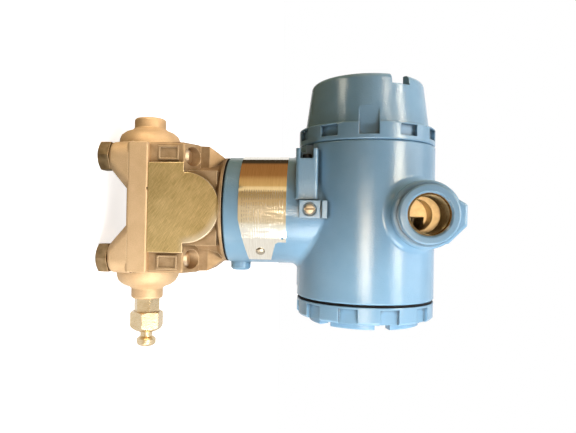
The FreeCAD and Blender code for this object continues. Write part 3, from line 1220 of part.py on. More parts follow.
def terminal_cover():
    """The short cover: a threaded skirt, a rim with grips and a slotted castle on its end."""
    owner = body("terminal_cover_shell", ("0", "barrel_back_y + back_gap", "barrel_z"), TO_PLUS_Y)
    section = sketch(owner, "terminal_cover_profile", "XZ_Plane")
    outline(section, [
        ("0", "back_height - back_web"), ("skirt_bore_radius", "back_height - back_web"),
        ("skirt_bore_radius", "-skirt_length"), ("skirt_radius - 0.6", "-skirt_length"),
        ("skirt_radius", "0.6 - skirt_length"), ("skirt_radius", "0"), ("cover_radius", "0"),
        ("cover_radius", "back_height - 1.2"), ("cover_radius - 1.2", "back_height"),
        ("castle_radius + 0.8", "back_height"), ("castle_radius", "back_height + 0.8"),
        ("castle_radius", "back_rim_height"), ("castle_bore_radius", "back_rim_height"),
        ("castle_bore_radius", "back_height"), ("0", "back_height")])
    revolve(owner, section)
    rounded(owner, "castle_round", lambda edge: circle_at(edge, "castle_radius", "back_rim_height"))
    grips(owner, "terminal_grip", "back_grip_low", "back_height + 0.5", "back_grip_angle")
    castle = sketch(owner, "castle_slot", "XY_Plane", "back_rim_height + past", "castle_angle")
    radial_slot(castle, "castle_bore_radius - 2 * past", "castle_radius + 0.7", "castle_width")
    polar(owner, pocket(owner, castle, "back_rim_height - back_height + 0.4"), castle, "castle_count")
    return node("terminal_cover", owner)


def terminal_cover_seal():
    """The black seal squeezed between the housing and the terminal cover's rim."""
    return node("terminal_cover_seal", turned("terminal_cover_seal_part", [
        ("skirt_radius + 0.25", "0.05"), ("seal_radius", "0.05"), ("seal_radius + 0.2", "back_gap / 2"),
        ("seal_radius", "back_gap - 0.05"), ("skirt_radius + 0.25", "back_gap - 0.05")],
        ("0", "barrel_back_y", "barrel_z"), TO_PLUS_Y))


for build in (flange, flange_bolts, process_gaskets, isolator_diaphragms, sensor_module, neck_seal,
              vent_valve_seat, vent_valve_nut, vent_stem, vent_ball, drain_plug,
              housing, conduit_plug, nameplate, nameplate_screws, ground_screw, cover_lock_screws,
              rotation_screw,
              terminal_block, terminal_clamps, terminal_screws, terminal_block_screws,
              electronics_can, electronics_board, board_screws, display_body, display_panel,
              display_cover, window_parts, display_cover_seal, terminal_cover, terminal_cover_seal):
    build()
DOC.recompute()

# Every object has to be sound before anything is written
for item in DOC.Objects:
    if "Invalid" in item.State or "Error" in item.State:
        raise RuntimeError(f"{item.Name} did not build: {item.State}")
for item in NODES:
    if item.Shape.isNull() or not item.Shape.isValid() or not item.Shape.Solids:
        raise RuntimeError(f"{item.Label} is not a sound solid")

os.makedirs("parts", exist_ok=True)
for item in NODES:
    item.Shape.exportStep(os.path.join("parts", item.Label + ".step"))
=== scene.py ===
import json
from math import cos, pi, radians, sin

import bmesh
import bpy
from mathutils import Matrix, Vector

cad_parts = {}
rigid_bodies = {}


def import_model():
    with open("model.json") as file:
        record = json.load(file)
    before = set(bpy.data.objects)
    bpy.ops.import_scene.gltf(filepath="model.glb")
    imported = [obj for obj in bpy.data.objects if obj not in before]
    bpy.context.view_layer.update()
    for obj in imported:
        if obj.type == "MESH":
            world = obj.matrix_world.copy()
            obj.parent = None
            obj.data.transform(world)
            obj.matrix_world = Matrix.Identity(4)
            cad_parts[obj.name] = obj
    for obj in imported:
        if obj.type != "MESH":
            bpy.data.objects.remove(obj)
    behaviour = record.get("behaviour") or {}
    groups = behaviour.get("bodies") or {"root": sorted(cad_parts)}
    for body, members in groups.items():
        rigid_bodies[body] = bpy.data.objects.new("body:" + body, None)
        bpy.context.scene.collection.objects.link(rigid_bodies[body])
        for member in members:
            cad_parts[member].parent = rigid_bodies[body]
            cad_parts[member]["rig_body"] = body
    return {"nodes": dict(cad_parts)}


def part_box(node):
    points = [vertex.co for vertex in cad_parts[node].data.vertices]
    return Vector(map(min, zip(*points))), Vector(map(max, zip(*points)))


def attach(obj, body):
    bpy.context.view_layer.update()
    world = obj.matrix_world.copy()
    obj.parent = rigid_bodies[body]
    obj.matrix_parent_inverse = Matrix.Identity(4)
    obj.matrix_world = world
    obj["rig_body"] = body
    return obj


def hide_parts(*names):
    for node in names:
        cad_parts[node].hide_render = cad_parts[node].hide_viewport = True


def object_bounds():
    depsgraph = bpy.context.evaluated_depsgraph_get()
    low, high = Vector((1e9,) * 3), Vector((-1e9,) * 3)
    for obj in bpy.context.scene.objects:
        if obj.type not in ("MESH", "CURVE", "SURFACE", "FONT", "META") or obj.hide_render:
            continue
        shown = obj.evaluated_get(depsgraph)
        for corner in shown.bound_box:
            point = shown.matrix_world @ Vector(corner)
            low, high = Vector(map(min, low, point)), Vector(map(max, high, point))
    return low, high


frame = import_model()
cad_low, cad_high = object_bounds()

nodes = frame["nodes"]

# Flange
# An investment casting in stainless steel, shot-blasted to an even sandy grain. It holds the two
# process ports and the two drain bosses, and four bolts clamp it under the sensor module.


class Wire:
    """One socket of a material. Arithmetic on it adds Math nodes."""

    def __init__(self, tree, socket):
        self.tree = tree
        self.socket = socket

    def feed(self, socket, value):
        """Link a wire to a socket, or set the socket to a plain value."""
        if isinstance(value, Wire):
            self.tree.links.new(value.socket, socket)
        else:
            socket.default_value = value

    def node(self, kind, settings, sockets, output=0):
        """Any other node: its settings are made first, then its sockets are set or linked."""
        made = self.tree.nodes.new(kind)
        for name, value in settings.items():
            if name == "stops":
                ramp = made.color_ramp
                while len(ramp.elements) < len(value):
                    ramp.elements.new(1.0)
                for element, (position, colour) in zip(ramp.elements, value):
                    element.position = position
                    element.color = (*colour, 1.0)
            else:
                setattr(made, name, value)
        for name, value in sockets.items():
            self.feed(made.inputs[name], value)
        return Wire(self.tree, made.outputs[output])

    def maths(self, operation, first, second=0.0):
        """A Math node on one or two values."""
        return self.node("ShaderNodeMath", {"operation": operation}, {0: first, 1: second})

    def __add__(self, other):
        return self.maths("ADD", self, other)

    __radd__ = __add__

    def __sub__(self, other):
        return self.maths("SUBTRACT", self, other)

    def __rsub__(self, other):
        return self.maths("SUBTRACT", other, self)

    def __mul__(self, other):
        return self.maths("MULTIPLY", self, other)

    __rmul__ = __mul__

    def __pow__(self, other):
        return self.maths("POWER", self, other)

    def __lt__(self, other):
        return self.maths("LESS_THAN", self, other)

    def __gt__(self, other):
        return self.maths("GREATER_THAN", self, other)

    def __abs__(self):
        return self.maths("ABSOLUTE", self)


def finish(name, sockets):
    """A new material with its plain values set. Returns it, its shader and its object coordinates."""
    material = bpy.data.materials.new(name)
    material.use_nodes = True
    tree = material.node_tree
    shader = tree.nodes["Principled BSDF"]
    for socket, value in sockets.items():
        shader.inputs[socket].default_value = value
    place = Wire(tree, tree.nodes.new("ShaderNodeTexCoord").outputs["Object"])
    return material, shader.inputs, place


def grain(place, size, detail=2.0, roughness=0.5):
    """Noise from 0 to 1 whose lumps measure about this size in metres."""
    return place.node("ShaderNodeTexNoise", {},
                      {"Vector": place, "Scale": 1 / size, "Detail": detail, "Roughness": roughness})


def between(factor, first, second):
    """A colour from the first to the second as the factor goes from 0 to 1."""
    ends = [(*end, 1.0) if isinstance(end, tuple) else end for end in (first, second)]
    return factor.node("ShaderNodeMix", {"data_type": "RGBA", "clamp_factor": True},
                       {0: factor, 6: ends[0], 7: ends[1]}, 2)


def step(value, low, high):
    """A smooth step from 0 to 1 as the value goes from low to high."""
    return value.node("ShaderNodeMapRange", {"interpolation_type": "SMOOTHSTEP"},
                      {"Value": value, "From Min": low, "From Max": high})


def soft_edges(place, radius):
    """Normals rounded over this radius, and a mask that is 1 along the edges."""
    soft = place.node("ShaderNodeBevel", {"samples": 8}, {"Radius": radius})
    true = place.node("ShaderNodeNewGeometry", {}, {}, "Normal")
    aligned = place.node("ShaderNodeVectorMath", {"operation": "DOT_PRODUCT"}, {0: soft, 1: true}, "Value")
    return soft, step(1 - aligned, 0.03, 0.25)


def painted_hollow_shade(place, reach):
    """Painted shade: 1 in hollows and inner corners, within this reach in metres, and 0 on open faces."""
    open_sky = place.node("ShaderNodeAmbientOcclusion", {"samples": 8, "only_local": True},
                          {"Distance": reach}, "AO")
    return step(1 - open_sky, 0.12, 0.6)


def relief(height, depth, normal):
    """A normal bent by a height that stands for this depth in metres."""
    return height.node("ShaderNodeBump", {}, {"Height": height, "Distance": depth, "Normal": normal})


def smooth_copy(node, material, crease=25.0):
    """A merged, smooth copy of a CAD node, which stands for it. Edges past the crease stay sharp."""
    shape = bmesh.new()
    shape.from_mesh(nodes[node].data)
    bmesh.ops.remove_doubles(shape, verts=shape.verts, dist=2e-6)
    for face in shape.faces:
        face.smooth = True
        face.material_index = 0
    for edge in shape.edges:
        edge.smooth = edge.calc_face_angle(pi) < radians(crease)
    mesh = bpy.data.meshes.new(node + "_shell")
    shape.to_mesh(mesh)
    shape.free()
    mesh.materials.append(material)
    piece = bpy.data.objects.new(node + "_shell", mesh)
    bpy.context.scene.collection.objects.link(piece)
    even = piece.modifiers.new("even_normals", "WEIGHTED_NORMAL")
    even.keep_sharp = True
    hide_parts(node)
    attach(piece, nodes[node]["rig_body"])


FLANGE_LIGHT = (0.82, 0.595, 0.365)
FLANGE_DARK = (0.64, 0.44, 0.245)
FLANGE_EDGE_WEAR_AND_HIGHLIGHT = (0.92, 0.76, 0.53)
FLANGE_HOLLOW_SHADE = (0.22, 0.12, 0.05)
SAND_SIZE = 0.0006
SAND_DEPTH = 0.0001
CAST_EDGE = 0.0007
flange_steel, inputs, place = finish("blasted_flange_steel", {"Metallic": 0.55})
mottle = grain(place, 0.007, 3.0)
sand = grain(place, SAND_SIZE, 2.0, 0.6)
soft, edge = soft_edges(place, CAST_EDGE)
skin = between(mottle * 0.9 + sand * 1.3 - 0.75, FLANGE_DARK, FLANGE_LIGHT)
# Painted shade darkens the hollows and inner corners of the casting.
skin = between(painted_hollow_shade(place, 0.006) * 0.8, skin, FLANGE_HOLLOW_SHADE)
# Lighter along the edges: partly wear, partly painted highlight.
place.feed(inputs["Base Color"], between(edge * 0.7, skin, FLANGE_EDGE_WEAR_AND_HIGHLIGHT))
place.feed(inputs["Roughness"], 0.5 + sand * 0.25)
place.feed(inputs["Normal"], relief(sand, SAND_DEPTH, soft))
smooth_copy("flange", flange_steel, crease=32.0)

# Flange bolts
# Four hexagon bolts of plated alloy steel, forged and rolled, gone brown with handling. They come up
# through the flange and end in the ears of the sensor module.


def axes(place):
    """The three coordinates of a place."""
    parts = place.node("ShaderNodeSeparateXYZ", {}, {0: place}).socket.node
    return [Wire(place.tree, output) for output in parts.outputs]


BOLT_BROWN = (0.18, 0.115, 0.055)
BOLT_WORN = (0.39, 0.275, 0.15)
BOLT_TIP_HIGHLIGHT = (0.62, 0.46, 0.30)
BOLT_TIP_Z = 0.0436
BOLT_EDGE = 0.0005
bolt_steel, inputs, place = finish("brown_bolt_steel", {"Metallic": 0.9})
smudge = grain(place, 0.004, 3.0)
# A painted highlight: the bolt ends, above this height, are lighter.
lit_tips = axes(place)[2] > BOLT_TIP_Z
shank = between(smudge * 1.6 - 0.4, BOLT_BROWN, BOLT_WORN)
place.feed(inputs["Base Color"], between(lit_tips, shank, BOLT_TIP_HIGHLIGHT))
place.feed(inputs["Roughness"], 0.34 + smudge * 0.2)
soft = soft_edges(place, BOLT_EDGE)[0]
place.feed(inputs["Normal"], relief(grain(place, 0.0009), 0.00004, soft))
smooth_copy("flange_bolts", bolt_steel, crease=20.0)

# Process gaskets and isolating diaphragms
# Two white filled-plastic rings in grooves of the flange, and two thin steel discs welded into the
# underside of the module. Both lie in the joint, clamped out of sight.


def toned(name, sockets, size, first, second, detail=2.0):
    """A finish whose colour drifts between two close tones, in lumps of this size."""
    material, inputs, place = finish(name, sockets)
    place.feed(inputs["Base Color"], between(grain(place, size, detail), first, second))
    return material, inputs, place


def dress(node, material):
    """A CAD node keeps its own shape and gets this material."""
    mesh = nodes[node].data
    mesh.materials.clear()
    mesh.materials.append(material)


GASKET_DULL = (0.82, 0.80, 0.74)
GASKET_WHITE = (0.90, 0.89, 0.85)
gasket_plastic = toned("white_gasket_plastic", {"Roughness": 0.55}, 0.002, GASKET_DULL, GASKET_WHITE)[0]
dress("process_gaskets", gasket_plastic)

DISC_DULL = (0.60, 0.58, 0.54)
DISC_BRIGHT = (0.72, 0.70, 0.66)
diaphragm_steel = toned("diaphragm_steel", {"Metallic": 1.0, "Roughness": 0.25}, 0.003,
                        DISC_DULL, DISC_BRIGHT)[0]
dress("isolator_diaphragms", diaphragm_steel)

# Sensor module
# A second stainless casting, browner than the flange, welded shut over the cell. Its two broad faces are
# ground flat with a slanting grain, and the ears and collar keep the blasted skin.


def stretched(place, scale):
    """Coordinates scaled along each axis, so that a pattern on them is drawn out."""
    return place.node("ShaderNodeMapping", {}, {"Vector": place, "Scale": scale})


EAR_DARK = (0.30, 0.185, 0.085)
EAR_LIGHT = (0.56, 0.395, 0.235)
EAR_EDGE_WEAR_AND_HIGHLIGHT = (0.80, 0.62, 0.42)
EAR_HOLLOW_SHADE = (0.15, 0.09, 0.035)
GROUND_DARK = (0.41, 0.275, 0.09)
GROUND_LIGHT = (0.92, 0.69, 0.34)
GROUND_RIM_SHEEN = (0.86, 0.74, 0.56)
ARCH_Z = 0.044
ARCH_RADIUS = 0.0198
GROUND_X = 0.0293
STRAIGHT_Z = 0.048
RIM_ALLOWANCE = 0.0002
RIM_SHEEN_WIDTH = 0.005
RIM_SHEEN_Y = (-0.002, 0.010)
RIM_SHEEN_Z = (0.040, 0.048)
SCRATCH_ANGLES = (30, 48, -35)
SCRATCH_SIZE = 0.0005
module_steel, inputs, place = finish("module_steel", {"Metallic": 0.7})
mottle = grain(place, 0.006, 3.0)
sand = grain(place, SAND_SIZE, 2.0, 0.6)
skin = between(mottle * 1.4 + sand * 0.6 - 0.5, EAR_DARK, EAR_LIGHT)
# Painted shade darkens the hollows and inner corners of the casting.
skin = between(painted_hollow_shade(place, 0.008) * 0.8, skin, EAR_HOLLOW_SHADE)
strokes = []
for angle in SCRATCH_ANGLES:
    turned = place.node("ShaderNodeMapping", {}, {"Vector": place, "Rotation": (radians(angle), 0, 0)})
    strokes.append(grain(stretched(turned, (1, 0.07, 1)), SCRATCH_SIZE, 3.0, 0.7))
scratches = strokes[0] * 0.45 + strokes[1] * 0.35 + strokes[2] * 0.2
cloud = grain(place, 0.012)
face = between(scratches * 2.4 + cloud * 0.7 - 1.1, GROUND_DARK, GROUND_LIGHT)
x, y, z = axes(place)
from_arch = (y * y + (z - ARCH_Z) * (z - ARCH_Z)) ** 0.5
within = place.maths("MAXIMUM", from_arch < ARCH_RADIUS + RIM_ALLOWANCE, z < STRAIGHT_Z)
ground = (abs(x) > GROUND_X) * within
# A painted sheen: the ground face is lighter near its rounded rim, on one short stretch by the terminal
# side.
painted_rim_sheen = step(from_arch, ARCH_RADIUS - RIM_SHEEN_WIDTH, ARCH_RADIUS)
painted_rim_sheen = painted_rim_sheen * step(y, *RIM_SHEEN_Y) * step(z, *RIM_SHEEN_Z)
face = between(painted_rim_sheen * 0.8, face, GROUND_RIM_SHEEN)
soft, edge = soft_edges(place, CAST_EDGE)
# Lighter along the edges: partly wear, partly painted highlight.
place.feed(inputs["Base Color"], between(edge * 0.6, between(ground, skin, face), EAR_EDGE_WEAR_AND_HIGHLIGHT))
place.feed(inputs["Roughness"], 0.52 + sand * 0.2 - ground * 0.2)
place.feed(inputs["Normal"], relief(sand * (1 - ground) + scratches * ground * 0.3, SAND_DEPTH, soft))
smooth_copy("sensor_module", module_steel, crease=14.0)

# Seals
# Moulded black rubber: a flat ring between the module and the neck, the gasket under the window, and
# the two rings that the covers are screwed down on.

SEAL_BLACK = (0.004, 0.004, 0.005)
SEAL_DUSTY = (0.012, 0.012, 0.013)
seal_rubber, inputs, place = toned("black_seal_rubber", {"Specular IOR Level": 0.15}, 0.003,
                                   SEAL_BLACK, SEAL_DUSTY)
place.feed(inputs["Roughness"], 0.6 + grain(place, 0.0008) * 0.25)
for ring in ("neck_seal", "window_gasket", "display_cover_seal", "terminal_cover_seal"):
    dress(ring, seal_rubber)

# Vent valve and plugs
# A turned valve with a hexagon seat, a larger nut and a stem that presses a ceramic ball shut. One socket
# plug closes the far boss and another the far conduit entry. The valve is bright stainless steel with fine
# tool marks round it, and the plugs are duller steel.

VALVE_LIGHT = (0.84, 0.68, 0.45)
VALVE_DARK = (0.60, 0.44, 0.24)
VALVE_EDGE = 0.0004
TOOL_MARK = 0.0003
TOOL_MARK_DEPTH = 0.00002
valve_steel, inputs, place = finish("turned_valve_steel", {"Metallic": 1.0})
rings = grain(stretched(place, (0.1, 1, 0.1)), TOOL_MARK)
tone = rings * 0.7 + grain(place, 0.004) * 0.9 - 0.3
place.feed(inputs["Base Color"], between(tone, VALVE_DARK, VALVE_LIGHT))
place.feed(inputs["Roughness"], 0.2 + rings * 0.16)
soft = soft_edges(place, VALVE_EDGE)[0]
place.feed(inputs["Normal"], relief(rings, TOOL_MARK_DEPTH, soft))
for turned_piece in ("vent_valve_seat", "vent_valve_nut", "vent_stem"):
    smooth_copy(turned_piece, valve_steel)

PLUG_DULL = (0.52, 0.44, 0.34)
PLUG_BRIGHT = (0.74, 0.66, 0.54)
plug_steel, inputs, place = toned("plug_steel", {"Metallic": 1.0}, 0.003, PLUG_DULL, PLUG_BRIGHT, 3.0)
place.feed(inputs["Roughness"], 0.28 + grain(place, 0.001) * 0.2)
for plug in ("drain_plug", "conduit_plug"):
    smooth_copy(plug, plug_steel)

BALL_CREAM = (0.84, 0.82, 0.76)
BALL_WHITE = (0.92, 0.90, 0.86)
ball_ceramic = toned("ball_ceramic", {"Roughness": 0.2}, 0.002, BALL_CREAM, BALL_WHITE)[0]
smooth_copy("vent_ball", ball_ceramic, crease=32.0)

# Housing
# A die-cast aluminium body, powder-coated blue with a fine orange peel. The bores are left bare, so the
# open conduit entry shows tan metal inside its painted ring.

PAINT_DEEP = (0.215, 0.395, 0.565)
PAINT_LIGHT = (0.265, 0.455, 0.620)
PAINT_HOLLOW_SHADE = (0.045, 0.075, 0.095)
BARE_DARK = (0.58, 0.43, 0.23)
BARE_LIGHT = (0.90, 0.70, 0.42)
BARREL_Z = 0.1462
BARREL_BORE = 0.0345
CONDUIT_Y = 0.0021
CONDUIT_Z = 0.1732
CONDUIT_BARE = 0.01068
PEEL_SIZE = 0.00075
PEEL_DEPTH = 0.0001


def paint(name):
    """The blue coat with its peel. Returns as finish does, with the colour and the roughness to feed in."""
    material, sockets, here = finish(name, {})
    peel = grain(here, PEEL_SIZE)
    tone = grain(here, 0.011)
    soft, edge = soft_edges(here, CAST_EDGE)
    # Lighter along the edges: partly wear, partly painted highlight.
    coat = between(tone * 1.2 + peel * 0.3 + edge * 0.8 - 0.25, PAINT_DEEP, PAINT_LIGHT)
    # Painted shade darkens the hollows and inner corners.
    coat = between(painted_hollow_shade(here, 0.003) * 0.7, coat, PAINT_HOLLOW_SHADE)
    here.feed(sockets["Normal"], relief(peel, PEEL_DEPTH, soft))
    return material, sockets, here, coat, 0.15 + peel * 0.08


housing_paint, inputs, place, coat, gloss = paint("blue_housing_coat")
x, y, z = axes(place)
from_barrel = (x * x + (z - BARREL_Z) * (z - BARREL_Z)) ** 0.5
from_conduit = ((y - CONDUIT_Y) * (y - CONDUIT_Y) + (z - CONDUIT_Z) * (z - CONDUIT_Z)) ** 0.5
bare = place.maths("MAXIMUM", from_barrel < BARREL_BORE, from_conduit < CONDUIT_BARE)
metal = between(grain(place, 0.003, 3.0) * 1.3 - 0.15, BARE_DARK, BARE_LIGHT)
place.feed(inputs["Base Color"], between(bare, coat, metal))
place.feed(inputs["Roughness"], gloss + bare * 0.3)
place.feed(inputs["Metallic"], bare * 0.9)
smooth_copy("housing", housing_paint, crease=32.0)

# Conduit thread
# The pipe thread cut in the casting at the open entry, a helical ridge of twelve turns. It carries no coat,
# so its bare metal catches the light on the far wall of the bore.

THREAD_PITCH = 0.001814
THREAD_TURNS = 12
THREAD_ROOT = 0.01055
THREAD_CREST = 0.00975
THREAD_START_X = 0.0290
THREAD_STEPS = 72
THREAD_CREASE = 25.0
THREAD_OUTLINE = ((0.0, THREAD_ROOT), (0.12, THREAD_ROOT), (0.5, THREAD_CREST), (0.62, THREAD_CREST))
THREAD_DARK = (0.10, 0.066, 0.028)
THREAD_LIGHT = (0.38, 0.285, 0.15)
thread_metal, inputs, place = finish("cut_thread_metal", {"Metallic": 0.95, "Roughness": 0.34})
tone = grain(place, 0.002, 3.0) * 1.3 - 0.15
place.feed(inputs["Base Color"], between(tone, THREAD_DARK, THREAD_LIGHT))
thread = bmesh.new()
previous = None
for turn in range(THREAD_TURNS):
    for share, radius in THREAD_OUTLINE:
        along = THREAD_START_X + (turn + share) * THREAD_PITCH
        point = thread.verts.new((along, CONDUIT_Y + radius, CONDUIT_Z))
        if previous:
            thread.edges.new((previous, point))
        previous = point
bmesh.ops.spin(thread, geom=thread.verts[:] + thread.edges[:], cent=(0, CONDUIT_Y, CONDUIT_Z),
               axis=(1, 0, 0), dvec=(THREAD_PITCH / THREAD_STEPS, 0, 0), angle=2 * pi, steps=THREAD_STEPS)
bmesh.ops.remove_doubles(thread, verts=thread.verts, dist=1e-5)
bmesh.ops.recalc_face_normals(thread, faces=thread.faces)
for ridge in thread.faces:
    ridge.smooth = True
for edge in thread.edges:
    edge.smooth = edge.calc_face_angle(pi) < radians(THREAD_CREASE)
thread_mesh = bpy.data.meshes.new("conduit_thread")
thread.to_mesh(thread_mesh)
thread.free()
thread_mesh.materials.append(thread_metal)
conduit_thread = bpy.data.objects.new("conduit_thread", thread_mesh)
bpy.context.scene.collection.objects.link(conduit_thread)
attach(conduit_thread, "housing")

# Nameplate
# A thin brushed stainless plate wrapped round the neck and held by two drive screws. Its brushing runs
# round the neck, and faint ruled rows fill its middle.

ROW_PITCH = 0.0013
ROW_FIRST = -19.0
ROW_LAST = 31.0
ROW_Z = 0.088
ROW_HALF_Z = 0.0118
ROW_DARK = (0.50, 0.42, 0.32)
PLATE_DULL = (0.76, 0.69, 0.56)
PLATE_BRIGHT = (0.93, 0.89, 0.80)
plate_steel, inputs, place = finish("brushed_plate_steel", {"Metallic": 1.0})
brushed = grain(stretched(place, (0.04, 0.04, 1)), 0.0005, 3.0, 0.7)
x, y, z = axes(place)
round_neck = place.maths("ARCTAN2", y, x) * (180 / pi)
ruled = place.maths("FRACT", z * (1 / ROW_PITCH)) < 0.45
dashes = grain(stretched(place, (1, 1, 0.15)), 0.0011, 0.0) > 0.45
along_rows = abs(round_neck - (ROW_FIRST + ROW_LAST) / 2) < (ROW_LAST - ROW_FIRST) / 2
up_rows = abs(z - ROW_Z) < ROW_HALF_Z
rows = ruled * dashes * along_rows * up_rows
blank = between(brushed * 1.4 - 0.2, PLATE_DULL, PLATE_BRIGHT)
place.feed(inputs["Base Color"], between(rows * 0.45, blank, ROW_DARK))
place.feed(inputs["Roughness"], 0.045 + brushed * 0.05 + rows * 0.2)
smooth_copy("nameplate", plate_steel, crease=32.0)

# Screws
# Small turned screws: two drive screws on the plate, the ground screw on its pad, those of the terminal
# block and the board in zinc-plated steel, and the lock and set screws in black steel.

PLATING_DULL = (0.34, 0.28, 0.20)
PLATING_BRIGHT = (0.56, 0.48, 0.37)
SCREW_HOLLOW_SHADE = (0.10, 0.075, 0.05)
SCREW_BLACK = (0.012, 0.012, 0.013)
SCREW_WORN = (0.05, 0.05, 0.052)
screw_steel, inputs, place = finish("plated_screw_steel", {"Metallic": 0.95, "Roughness": 0.42})
plating = between(grain(place, 0.0015, 3.0) * 1.3 - 0.15, PLATING_DULL, PLATING_BRIGHT)
# Painted shade darkens the hollows and inner corners of the screws.
place.feed(inputs["Base Color"], between(painted_hollow_shade(place, 0.0015), plating, SCREW_HOLLOW_SHADE))
for screw in ("nameplate_screws", "ground_screw", "terminal_screws", "terminal_block_screws",
              "board_screws"):
    smooth_copy(screw, screw_steel)

dark_screw_steel = toned("black_screw_steel", {"Metallic": 0.6, "Roughness": 0.4}, 0.001,
                         SCREW_BLACK, SCREW_WORN, 3.0)[0]
for screw in ("cover_lock_screws", "rotation_screw"):
    smooth_copy(screw, dark_screw_steel)

# Terminal block
# A black block moulded in hard plastic, held to the web of the housing by two screws. A brass clamp plate
# lies in its wells under each terminal screw.

BLOCK_BLACK = (0.014, 0.015, 0.017)
BLOCK_GREY = (0.03, 0.031, 0.034)
BLOCK_EDGE = 0.0005
BRASS_DULL = (0.58, 0.42, 0.17)
BRASS_BRIGHT = (0.78, 0.62, 0.32)
block_plastic, inputs, place = toned("black_block_plastic", {"Roughness": 0.5}, 0.002,
                                     BLOCK_BLACK, BLOCK_GREY)
soft = soft_edges(place, BLOCK_EDGE)[0]
place.feed(inputs["Normal"], relief(grain(place, 0.0004), 0.00003, soft))
smooth_copy("terminal_block", block_plastic)

clamp_brass = toned("clamp_brass", {"Metallic": 1.0, "Roughness": 0.34}, 0.002,
                    BRASS_DULL, BRASS_BRIGHT, 3.0)[0]
dress("terminal_clamps", clamp_brass)

# Electronics and display
# The potted can, the green board screwed to its face, and the round display body with its grey liquid
# crystal panel.

CAN_BLACK = (0.012, 0.012, 0.014)
CAN_GREY = (0.026, 0.026, 0.028)
BOARD_DARK = (0.010, 0.085, 0.035)
BOARD_GREEN = (0.018, 0.13, 0.055)
DISPLAY_BLACK = (0.014, 0.014, 0.016)
DISPLAY_GREY = (0.03, 0.03, 0.033)
PANEL_DARK = (0.36, 0.41, 0.32)
PANEL_LIGHT = (0.42, 0.47, 0.37)
can_plastic = toned("can_plastic", {"Roughness": 0.5}, 0.003, CAN_BLACK, CAN_GREY)[0]
smooth_copy("electronics_can", can_plastic)

board_laminate = toned("board_laminate", {"Roughness": 0.4}, 0.002, BOARD_DARK, BOARD_GREEN)[0]
smooth_copy("electronics_board", board_laminate)

display_plastic = toned("display_plastic", {"Roughness": 0.5}, 0.002, DISPLAY_BLACK, DISPLAY_GREY)[0]
smooth_copy("display_body", display_plastic)

display_glass = toned("display_glass", {"Roughness": 0.2}, 0.006, PANEL_DARK, PANEL_LIGHT)[0]
dress("display_panel", display_glass)

# Display figures
# The dark segments of the liquid crystal: four figures with a point, which show zero, and a row of scale
# marks under them. They lie on the panel's face.

FIGURE_COUNT = 4
FIGURE_WIDTH = 0.0046
FIGURE_HEIGHT = 0.0100
FIGURE_PITCH = 0.0082
FIGURE_Z = 0.1482
STROKE = 0.0011
INK_THICKNESS = 0.0001
MARK_COUNT = 21
MARK_PITCH = 0.0016
MARK_Z = 0.1372
INK_DARK = (0.012, 0.016, 0.014)
INK_LIGHT = (0.03, 0.036, 0.03)
panel_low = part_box("display_panel")[0]
ink = toned("display_ink", {"Roughness": 0.35}, 0.001, INK_DARK, INK_LIGHT)[0]
figures = bmesh.new()


def segment(x, z, width, height):
    """One dark bar on the panel, with its corners cut."""
    at = Matrix.Translation((x, panel_low.y - INK_THICKNESS / 2, z))
    stretch = Matrix.Diagonal((width, INK_THICKNESS, height, 1))
    bar = bmesh.ops.create_cube(figures, size=1.0, matrix=at @ stretch)
    corners = [edge for edge in {edge for vert in bar["verts"] for edge in vert.link_edges}
               if abs((edge.verts[0].co - edge.verts[1].co).y) > INK_THICKNESS / 2]
    bmesh.ops.bevel(figures, geom=corners, offset=min(width, height) * 0.3, affect="EDGES", segments=1,
                    profile=0.5, material=-1)


for figure in range(FIGURE_COUNT):
    middle = (figure - (FIGURE_COUNT - 1) / 2) * FIGURE_PITCH
    for side in (-1, 1):
        segment(middle, FIGURE_Z + side * FIGURE_HEIGHT / 2, FIGURE_WIDTH - STROKE, STROKE)
        for half in (-1, 1):
            segment(middle + side * FIGURE_WIDTH / 2, FIGURE_Z + half * FIGURE_HEIGHT / 4,
                    STROKE, FIGURE_HEIGHT / 2 - STROKE)
segment(FIGURE_PITCH, FIGURE_Z - FIGURE_HEIGHT / 2, STROKE, STROKE)
for mark in range(MARK_COUNT):
    height = STROKE * (2.0 if mark % 5 == 0 else 1.0)
    segment((mark - (MARK_COUNT - 1) / 2) * MARK_PITCH, MARK_Z + height / 2, STROKE * 0.6, height)
figures_mesh = bpy.data.meshes.new("display_figures")
figures.to_mesh(figures_mesh)
figures.free()
figures_mesh.materials.append(ink)
display_figures = bpy.data.objects.new("display_figures", figures_mesh)
bpy.context.scene.collection.objects.link(display_figures)
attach(display_figures, "housing")

# Covers
# Two die-cast caps in the same blue coat, screwed on the barrel by hand or with a bar in their slots.
# The display cover holds a thick window of toughened glass under an aluminium ring.

cover_paint, inputs, place, coat, gloss = paint("blue_cover_coat")
place.feed(inputs["Base Color"], coat)
place.feed(inputs["Roughness"], gloss)
for cap in ("display_cover", "terminal_cover"):
    smooth_copy(cap, cover_paint, crease=32.0)

GLASS_GREEN = (0.90, 0.94, 0.92)
GLASS_CLEAR = (0.94, 0.97, 0.95)
RING_DULL = (0.60, 0.60, 0.60)
RING_BRIGHT = (0.72, 0.72, 0.72)
window_glass = toned("window_glass", {"Roughness": 0.02, "Transmission Weight": 1.0, "IOR": 1.5}, 0.02,
                     GLASS_GREEN, GLASS_CLEAR)[0]
smooth_copy("display_window", window_glass)

ring_aluminium = toned("ring_aluminium", {"Metallic": 1.0, "Roughness": 0.35}, 0.002,
                       RING_DULL, RING_BRIGHT)[0]
smooth_copy("window_ring", ring_aluminium)

# Floor
# A plain pale bench under the four bolt heads. It looks white further out. Near the object its glow is
# weaker, a painted shade round the object besides its soft shadow, and it throws less light back on the
# display side.

